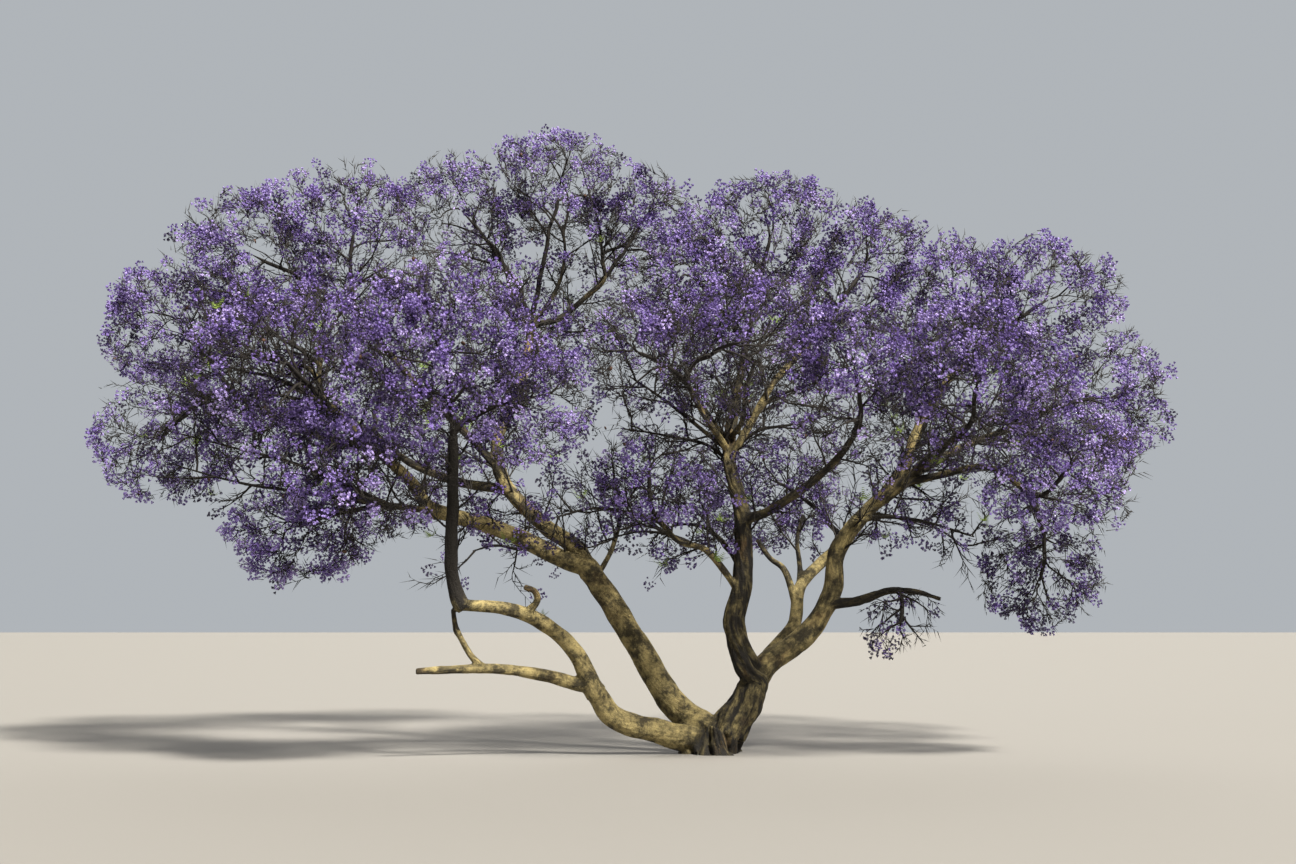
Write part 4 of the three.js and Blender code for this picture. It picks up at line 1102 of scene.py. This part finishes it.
class Mass(Growth):
    """One mass as it grows: its stem, its joints and its twigs of each generation."""

    def __init__(self, name, balls, settings):
        self.name = name
        self.balls = balls
        self.index = balls.names.index(name)
        super().__init__(self.index, settings)
        parent, share, centre, self.reach, self.fullness, self.bare_below = MASSES[name]
        self.centre = np.array(centre)
        self.droop = DROOP.get(name, 0)
        bough = limbs()[parent]
        start = bough.curve.at(share)
        onward = unit(self.centre - start)
        hub = self.centre + onward * HUB_PAST * self.reach
        bend = start + bough.curve.heading(share) * LEAD * np.linalg.norm(hub - start)
        radii = (min(STEM_RADIUS, float(bough.radius(share)) * STEM_SHARE), STEM_TIP_RADIUS)
        self.add_wood("stem", (start, bend, hub), radii, STEM_STEPS, joints=STEM_JOINTS)

    def sites(self, count, depths):
        """Even directions from the middle, how far out a site lies in each, and if it faces the open."""
        number = np.arange(count)
        height = 1 - (2 * number + 1) / count
        turn = self.random.uniform(0, 2 * math.pi) + number * GOLDEN_ANGLE
        ring = np.sqrt(1 - height**2)
        outward = np.column_stack([ring * np.cos(turn), ring * np.sin(turn), height * FLATTEN])
        way = np.zeros(count)
        exposed = np.zeros(count, bool)
        for share in MARCH[::-1]:
            face, border = self.balls.depth(self.centre + outward * share * self.reach, self.index)
            inside = np.minimum(face, border) > BORDER
            way[inside] = share * self.reach
            exposed[inside] = (face < border)[inside]
        depth = (way - BORDER) * self.random.uniform(*depths, count) ** CROWDING
        return outward, depth, exposed

    def best_foot(self, place):
        """The joint from which a twig to a place costs least."""
        way = place - self.joints[:, PLACE]
        distance = np.linalg.norm(way, axis=1)
        turning = 1 - (way * self.joints[:, HEADING]).sum(1) / np.maximum(distance, 1e-6)
        cost = distance * (1 + TURN_COST * turning) + BALANCE * self.joints[:, RUN]
        return int(np.argmin(np.where(self.joints[:, USED] > 0, np.inf, cost)))

    def is_clear(self, controls, radius):
        """True if a twig keeps to its mass's own space and off the limbs."""
        places = bezier(controls, CHECKS)
        if not self.rooms(places)[0].all():
            return False
        tree, radii = limb_tree()
        for place in places:
            _, number, distance = tree.find(place)
            if distance < radii[number] + radius + CLEARANCE:
                return False
        return True

    def rooms(self, places):
        face, border = self.balls.depth(places, self.index)
        face -= BAY_DEPTH * self.reach * np.clip(noises(places / BAY), 0, DEEPEST_BAY)
        inside = (np.minimum(face, border) > BORDER) & (places[:, 2] > LOWEST_BLOSSOM)
        inside &= ((places > solid_box[0]) & (places < solid_box[1])).all(1)
        return inside, face

    def full(self, places):
        """How full of blossom each place is."""
        low = np.where(places[:, 2] < self.bare_below, BARE_SHARE, 1)
        return self.fullness * low * open_share(places)

    def grow(self, kind):
        """Grows one generation of twigs to its sites, the inner ones first."""
        rule = GENERATIONS[kind]
        share = TWIG_SHARES.get(self.name, 1)
        count = round((rule["sites"] or self.settings.sites * share) * self.reach**2)
        outward, depth, exposed = self.sites(count, rule["depth"])
        for i in np.argsort(depth):
            if kind == "twig" and not exposed[i] and self.random.random() > INNER_SHARE:
                continue
            for draw in range(DRAWS):
                place = self.centre + outward[i] * depth[i] * SHRINK**draw
                foot = self.best_foot(place)
                start, heading = self.joints[foot, PLACE], self.joints[foot, HEADING]
                length = np.linalg.norm(place - start)
                bend = start + heading * LEAD * length - (0, 0, mix(SAG, -SAG, self.droop) * length)
                controls = (start, bend, place)
                radius = min(self.joints[foot, RADIUS] * FORK_SHARE, rule["radius"])
                if self.is_clear(controls, radius):
                    tip = self.settings.tip_radius if kind == "twig" else radius * TAPER
                    self.joints[foot, USED] = 1
                    run = self.joints[foot, RUN]
                    way = self.add_wood(kind, controls, (radius, tip), rule["steps"], run, rule["joints"])
                    if kind == "twig":
                        self.ends.append((place, way, self.rooms(place[None])[1][0], 1))
                    break


def open_share(places):
    """The share of the blossom that the openings leave at each place."""
    eye = np.array(EYE)
    seen = eye + (places - eye) * (-eye[1] / (places[:, 1:2] - eye[1]))
    left = np.ones(len(places))
    for x, z, width, height, share in OPENINGS:
        away = np.hypot((seen[:, 0] - x) / width, (seen[:, 2] - z) / height)
        left = np.minimum(left, mix(share, 1, np.clip(2 * away - 1, 0, 1)))
    return left


def bezier(controls, shares):
    """Places on the bend through three control points."""
    t = np.asarray(shares, float)[..., None]
    a, b, c = controls
    return (1 - t) ** 2 * a + 2 * t * (1 - t) * b + t**2 * c


@functools.cache
def crown():
    """All masses, grown."""
    settings = bpy.context.scene.jacaranda_twigs
    balls = Balls()
    masses = []
    for name in MASSES:
        mass = Mass(name, balls, settings)
        for kind in GENERATIONS:
            mass.grow(kind)
        mass.add_twiglets("branchlet")
        mass.add_twiglets("twig")
        mass.bear(mass.full)
        masses.append(mass)
    return masses


@functools.cache
def shoots():
    """The shoots of all limbs, grown."""
    return Shoots(bpy.context.scene.jacaranda_twigs)


def groups():
    """The masses of each region of the crown by its name, and the shoots as the inner ones."""
    regions = {region: [m for m in crown() if m.name.startswith(region)] for region in REGIONS}
    return regions | {"inner": [shoots()]}


def tubes(woods, sides):
    """Vertices and triangles of many bent woods as tubes, open at the foot and pointed at the tip."""
    centres = np.array([c for c, _ in woods])
    radii = np.array([r for _, r in woods])
    count, rings = radii.shape
    headings = unit(np.gradient(centres, axis=1))
    chord = unit(centres[:, -1] - centres[:, 0])
    away = np.eye(3)[np.abs(chord).argmin(axis=1)]
    side = unit(away[:, None] - headings * (away[:, None] * headings).sum(2, keepdims=True))
    across = np.cross(headings, side)
    angles = np.arange(sides) * 2 * math.pi / sides
    rim = side[:, :, None] * np.cos(angles)[:, None] + across[:, :, None] * np.sin(angles)[:, None]
    walls = centres[:, :-1, None] + rim[:, :-1] * radii[:, :-1, None, None]
    vertices = np.concatenate([walls.reshape(count, -1, 3), centres[:, -1:]], axis=1)
    triangles = []
    for ring in range(rings - 2):
        for i in range(sides):
            a, b = ring * sides + i, ring * sides + (i + 1) % sides
            triangles += [(a, b, b + sides), (a, b + sides, a + sides)]
    last = (rings - 2) * sides
    triangles += [(last + i, last + (i + 1) % sides, last + sides) for i in range(sides)]
    per = vertices.shape[1]
    all_triangles = np.array(triangles)[None] + (np.arange(count) * per)[:, None, None]
    return vertices.reshape(-1, 3), all_triangles.reshape(-1, 3)


class JACARANDA_OT_twigs(bpy.types.Operator):
    """Grows the stems, branches and twigs of all masses of blossom"""

    bl_idname = "jacaranda.twigs"
    bl_label = "Twigs"

    def execute(self, context):
        # Twig wood that holds painted shade as well as its own colour
        wood = plain_material("twig_wood", TWIG_WOOD_AND_SHADE, TWIG_ROUGHNESS)
        for region, growths in groups().items():
            replaced = [growth.name for growth in growths if growth.name in MASSES]
            woods = {kind: [w for growth in growths for w in growth.woods[kind]] for kind in SIDES}
            parts = [tubes(woods[kind], sides) for kind, sides in SIDES.items() if woods[kind]]
            name = "shoots" if region == "inner" else "twigs_" + region
            piece = triangle_object(name, *joined(parts))
            piece.data.shade_smooth()
            finish_piece(piece, wood, replaced)
        return {"FINISHED"}


# Blossom


class BlossomSettings(bpy.types.PropertyGroup):
    flower_length: FloatProperty(
        name="Flower", description="Length of a trumpet flower", default=0.034, min=0.01, unit="LENGTH")
    flower_width: FloatProperty(
        name="Mouth", description="Width of a flower's mouth", default=0.037, min=0.01, unit="LENGTH")
    panicle_length: FloatProperty(
        name="Panicle", description="Length of a panicle", default=0.15, min=0.05, unit="LENGTH")
    panicle_width: FloatProperty(
        name="Panicle's width", description="Width of a panicle between the feet of its flowers",
        default=0.105, min=0.02, unit="LENGTH")
    flowers: IntProperty(
        name="Flowers", description="Flowers of one panicle", default=14, min=3)


# The tones of blossom, from pale to deep, and how many of ten sprays have each, outside and inside. They are
# partly the flowers' own spread of colour and partly painted light and shade, with the paler tones outside
# and the deep ones inside.
TONES = {
    "pale": ("a493cb", 2, 0.2),
    "lilac": ("8976b6", 3.5, 0.7),
    "violet": ("6a5599", 2.8, 1.9),
    "plum": ("4b3970", 1.3, 3.4),
    "deep": ("2c1f45", 0.4, 3.8),
}
# Blossom near the outer face gets the paler lit tones, and deeper in the crown the deep tones are painted
# shade
SHELL = 0.45  # depth under a mass's outer face over which blossom has the outside's tones
PETAL_ROUGHNESS = 0.6
BLOSSOM_SEED = 20
VARIANTS = 8
PETALS = 5
PETAL_SHARE = 0.86  # how much of the mouth's round its five petals fill
PANICLE_FEET = (0.05, 0.9)  # heights of the first and last flower's foot over the panicle's length
PANICLE_TAPER = 0.6  # how much slimmer the panicle is at its tip
FLOWER_LIFTS = (-0.35, 0.9)  # how much the first and the last flower point up
FLOWER_STRAYS = (0.3, 0.012, 0.25)  # in turn, in height and in heading
FLOWER_REACHES = (0.5, 1.3)  # how far out its foot lies over the panicle's half width
FLOWER_SIZES = (0.8, 1.15)
PANICLE_STRAY = 0.3  # how far panicles stray from their twigs' headings
PANICLE_SIZES = (0.75, 1.15)


def flower(settings):
    """A trumpet of five petals, with its foot at the origin and its mouth along Z."""
    half = settings.flower_width / 2
    corners = [(0, 0, 0)]
    triangles = []
    for petal in range(PETALS):
        middle = petal * 2 * math.pi / PETALS
        spread = math.pi / PETALS * PETAL_SHARE
        for angle in (middle - spread, middle + spread):
            corners.append((half * math.cos(angle), half * math.sin(angle), settings.flower_length))
        triangles.append((0, 2 * petal + 1, 2 * petal + 2))
    return np.array(corners), np.array(triangles)


def turned(places, axes, rolls):
    """Places turned so that Z lies along each axis, after a roll about it."""
    axes = unit(axes)
    away = np.where(np.abs(axes[:, 2:]) < 0.9, [[0.0, 0, 1]], [[1.0, 0, 0]])
    side = unit(np.cross(away, axes))
    across = np.cross(axes, side)
    cos, sin = np.cos(rolls)[:, None], np.sin(rolls)[:, None]
    frames = np.stack([side * cos + across * sin, across * cos - side * sin, axes], axis=1)
    return places @ frames


def copies(template, roots, axes, rolls, sizes):
    """Many copies of a template, as vertices and triangles."""
    corners, triangles = template
    placed = roots[:, None] + turned(corners[None], axes, rolls) * sizes[:, None, None]
    indices = triangles[None] + (np.arange(len(roots)) * len(corners))[:, None, None]
    return placed.reshape(-1, 3), indices.reshape(-1, 3)


def panicle(settings, random):
    """The flowers of one panicle, spiralling up its axis, which is Z."""
    count = settings.flowers
    turn_stray, height_stray, heading_stray = FLOWER_STRAYS
    height = (np.arange(count) + 0.5) / count
    angle = np.arange(count) * GOLDEN_ANGLE + random.normal(0, turn_stray, count)
    taper = 1 - PANICLE_TAPER * height
    out = settings.panicle_width / 2 * taper * random.uniform(*FLOWER_REACHES, count)
    up = settings.panicle_length * mix(*PANICLE_FEET, height) + random.normal(0, height_stray, count)
    feet = np.column_stack([out * np.cos(angle), out * np.sin(angle), up])
    axes = np.column_stack([np.cos(angle), np.sin(angle), mix(*FLOWER_LIFTS, height)])
    axes += random.normal(0, heading_stray, axes.shape)
    sizes = random.uniform(*FLOWER_SIZES, count)
    return copies(flower(settings), feet, axes, random.uniform(0, 2 * math.pi, count), sizes)


class JACARANDA_OT_blossom(bpy.types.Operator):
    """Hangs panicles of trumpet flowers on the twigs, in five tones dealt out by spray"""

    bl_idname = "jacaranda.blossom"
    bl_label = "Blossom"

    def execute(self, context):
        settings = context.scene.jacaranda_blossom
        random = np.random.default_rng(BLOSSOM_SEED)
        templates = [panicle(settings, random) for _ in range(VARIANTS)]
        materials = {tone: plain_material("blossom_" + tone, colour, PETAL_ROUGHNESS)
                     for tone, (colour, _, _) in TONES.items()}
        for region, growths in groups().items():
            replaced = [growth.name for growth in growths if growth.name in MASSES]
            counts = [len(growth.tips) for growth in growths]
            tips = np.concatenate([growth.tips for growth in growths])
            lit = np.repeat([growth.name not in SHADED for growth in growths], counts)
            # Sprays near the outer face of lit masses get the lit tones; the others get the inside's deep
            # tones as painted shade
            roots, exposed = tips[:, PLACE], (tips[:, ROOM] < SHELL) & lit
            axes = tips[:, HEADING] + random.normal(0, PANICLE_STRAY, roots.shape)
            axes[:, 2] -= np.repeat([growth.droop for growth in growths], counts)
            rolls = random.uniform(0, 2 * math.pi, len(roots))
            sizes = random.uniform(*PANICLE_SIZES, len(roots))
            variants = random.integers(0, VARIANTS, len(roots))
            outside = np.array([o for _, o, _ in TONES.values()])
            inside = np.array([i for _, _, i in TONES.values()])
            chances = np.where(exposed[:, None], outside, inside)
            marks = np.cumsum(chances / chances.sum(1, keepdims=True), axis=1)
            tones = (random.random(len(roots))[:, None] > marks).sum(1)
            for number, tone in enumerate(TONES):
                parts = []
                for variant, template in enumerate(templates):
                    here = (tones == number) & (variants == variant)
                    parts.append(copies(template, roots[here], axes[here], rolls[here], sizes[here]))
                piece = triangle_object(f"blossom_{region}_{tone}", *joined(parts))
                finish_piece(piece, materials[tone], replaced)
        return {"FINISHED"}


# Young leaves and seed pods


class ExtraSettings(bpy.types.PropertyGroup):
    pods: IntProperty(
        name="Pods", description="Old seed pods on bare twigs of the crown", default=90, min=1)
    tufts: IntProperty(
        name="Tufts", description="Tufts of young leaves on bare shoots", default=70, min=1)
    leaf_length: FloatProperty(
        name="Leaf", description="Length of a young leaf", default=0.16, min=0.02, unit="LENGTH")


POD_BROWN = "4a2f1e"
LEAF_GREEN = "7d9440"
LEAF_ROUGHNESS = 0.7
EXTRA_SEED = 7
EXTRA_STRAY = 0.25  # how far pods stray from hanging and tufts from standing
EXTRA_SIZES = (0.7, 1.2)
POD_SIZE = (0.034, 0.008, 0.028)  # half its width, half its thickness and half its height
POD_CORNERS = 8
POD_STALK = 0.015
TUFT_LEAVES = 5
LEAFLET_PAIRS = 6
LEAFLET_LENGTH = 0.3  # over the leaf's length
LEAFLET_WIDTH = 0.4  # over the leaflet's length
LEAFLET_LEAN = 0.6  # how much leaflets lean towards the leaf's tip
LEAFLET_TAPER = (1.2, 0.5)  # their length at the leaf's foot and tip
LEAF_RISES = (0.3, 1.2)


def pod():
    """A flat round pod that hangs from its stalk."""
    angles = np.arange(POD_CORNERS) * 2 * math.pi / POD_CORNERS
    width, thickness, height = POD_SIZE
    rim = np.column_stack([width * np.cos(angles), 0 * angles, height * np.sin(angles)])
    vertices = np.vstack([rim, (0, thickness, 0), (0, -thickness, 0)]) + (0, 0, height + POD_STALK)
    triangles = []
    for i in range(POD_CORNERS):
        after = (i + 1) % POD_CORNERS
        triangles += [(i, after, POD_CORNERS + 1), (after, i, POD_CORNERS)]
    return vertices, np.array(triangles)


def tuft(settings, random):
    """Feathery leaves that spread from a point, each of two rows of leaflets."""
    parts = []
    for leaf in range(TUFT_LEAVES):
        turn = leaf * GOLDEN_ANGLE
        heading = unit(np.array([math.cos(turn), math.sin(turn), random.uniform(*LEAF_RISES)]))
        side = unit(np.cross(heading, (0, 0, 1)))
        corners = []
        for pair in range(LEAFLET_PAIRS):
            share = (pair + 1) / LEAFLET_PAIRS
            foot = heading * settings.leaf_length * share
            long = settings.leaf_length * LEAFLET_LENGTH * mix(*LEAFLET_TAPER, share)
            for way in (side, -side):
                tip = foot + (LEAFLET_LEAN * heading + way) * long
                corners += [foot, tip, foot + heading * long * LEAFLET_WIDTH]
        parts.append((np.array(corners), np.arange(len(corners)).reshape(-1, 3)))
    return joined(parts)


class JACARANDA_OT_extras(bpy.types.Operator):
    """Hangs seed pods and sets tufts of young leaves on bare twigs"""

    bl_idname = "jacaranda.extras"
    bl_label = "Pods and young leaves"

    def execute(self, context):
        settings = context.scene.jacaranda_extras
        random = np.random.default_rng(EXTRA_SEED)
        high = np.concatenate([mass.bare_tips[:, PLACE] for mass in crown()])
        low = shoots().bare_tips[:, PLACE]
        for name, places, count, template, axis, colour in (
                ("pods", high, settings.pods, pod(), (0, 0, -1), POD_BROWN),
                ("young_leaves", low, settings.tufts, tuft(settings, random), (0, 0, 1), LEAF_GREEN)):
            roots = random.permutation(places)[:count]
            axes = axis + random.normal(0, EXTRA_STRAY, roots.shape)
            rolls = random.uniform(0, 2 * math.pi, len(roots))
            sizes = random.uniform(*EXTRA_SIZES, len(roots))
            piece = triangle_object(name, *copies(template, roots, axes, rolls, sizes))
            finish_piece(piece, plain_material(name, colour, LEAF_ROUGHNESS))
        return {"FINISHED"}


# Stage


class StageSettings(bpy.types.PropertyGroup):
    floor_span: FloatProperty(
        name="Floor", description="Width of the floor", default=400, min=20, unit="LENGTH")
    eye_height: FloatProperty(
        name="Eye height", description="Height of the camera", default=EYE[2], min=0.1, unit="LENGTH")
    key_strength: FloatProperty(
        name="Key light", description="Strength of the key light", default=9.5, min=0)


CAMERA_LENS = 45
CAMERA_PITCH = math.radians(6.62)
SIGHT = 1000  # how far the camera sees
FLOOR_TONE = "817e79"
FLOOR_ROUGHNESS = 0.9
# Each light: the way it shines from, its strength over the key's, its width as an angle, and its colour
LIGHTS = {
    "key": ((9, -12, 17), 1, 9, (1, 0.96, 0.88)),
    "fill": ((-15, -15, 8), 0.03, 60, (0.9, 0.94, 1)),
    "back": ((2, 17, 12), 0.17, 60, (1, 0.98, 0.95)),
}
SKY = "e2e8ee"
SKY_LIGHT = 0.17  # the sky's strength as a light
SKY_SHADE = 0.57  # its strength as a background


def studio_world():
    """A plain pale sky that shows a little brighter than it shines."""
    shader = Shader(bpy.data.worlds.new("studio"), "Background")
    seen = shader.node("ShaderNodeLightPath", output="Is Camera Ray")
    strength = shader.node(
        "ShaderNodeMapRange", None, {"Value": seen, "To Min": SKY_LIGHT, "To Max": SKY_SHADE})
    shader.set(Color=linear(SKY), Strength=strength)
    return shader.made


class JACARANDA_OT_stage(bpy.types.Operator):
    """Sets up the pale floor, the soft studio lights and the camera"""

    bl_idname = "jacaranda.stage"
    bl_label = "Stage"

    def execute(self, context):
        settings = context.scene.jacaranda_stage
        bpy.ops.mesh.primitive_plane_add(size=settings.floor_span)
        floor = context.active_object
        floor.name = "floor"
        floor.data.materials.append(plain_material("floor", FLOOR_TONE, FLOOR_ROUGHNESS))
        for name, (place, share, width, colour) in LIGHTS.items():
            bpy.ops.object.light_add(type="SUN", location=place)
            light = context.active_object
            light.name = name
            light.rotation_euler = Vector(place).to_track_quat("Z", "Y").to_euler()
            light.data.angle = math.radians(width)
            light.data.energy = settings.key_strength * share
            light.data.color = colour
        context.scene.world = studio_world()
        context.scene.view_settings.view_transform = "Standard"
        bpy.ops.object.camera_add(
            location=(*EYE[:2], settings.eye_height), rotation=(math.pi / 2 + CAMERA_PITCH, 0, 0))
        camera = context.active_object
        camera.data.lens = CAMERA_LENS
        camera.data.clip_end = SIGHT
        context.scene.camera = camera
        return {"FINISHED"}


class JACARANDA_PT_sidebar(bpy.types.Panel):
    """Lists the steps that dress the tree"""

    bl_label = "Jacaranda"
    bl_idname = "JACARANDA_PT_sidebar"
    bl_space_type = "VIEW_3D"
    bl_region_type = "UI"
    bl_category = "Jacaranda"

    def draw(self, context):
        for operator, (settings, group) in STEPS.items():
            box = self.layout.box()
            box.operator(operator.bl_idname)
            for name in group.__annotations__:
                box.prop(getattr(context.scene, settings), name)


# Each step's operator, with the name of its settings on the scene and their group
STEPS = {
    JACARANDA_OT_bark: ("jacaranda_bark", BarkSettings),
    JACARANDA_OT_twigs: ("jacaranda_twigs", TwigSettings),
    JACARANDA_OT_blossom: ("jacaranda_blossom", BlossomSettings),
    JACARANDA_OT_extras: ("jacaranda_extras", ExtraSettings),
    JACARANDA_OT_stage: ("jacaranda_stage", StageSettings),
}


def register():
    for operator, (name, group) in STEPS.items():
        bpy.utils.register_class(group)
        bpy.utils.register_class(operator)
        setattr(bpy.types.Scene, name, PointerProperty(type=group))
    bpy.utils.register_class(JACARANDA_PT_sidebar)


def unregister():
    bpy.utils.unregister_class(JACARANDA_PT_sidebar)
    for operator, (name, group) in reversed(STEPS.items()):
        delattr(bpy.types.Scene, name)
        bpy.utils.unregister_class(operator)
        bpy.utils.unregister_class(group)


def main():
    """Makes every piece and the stage."""
    register()
    bpy.ops.jacaranda.bark()
    bpy.ops.jacaranda.twigs()
    bpy.ops.jacaranda.blossom()
    bpy.ops.jacaranda.extras()
    bpy.ops.jacaranda.stage()


if __name__ == "__main__":
    main()
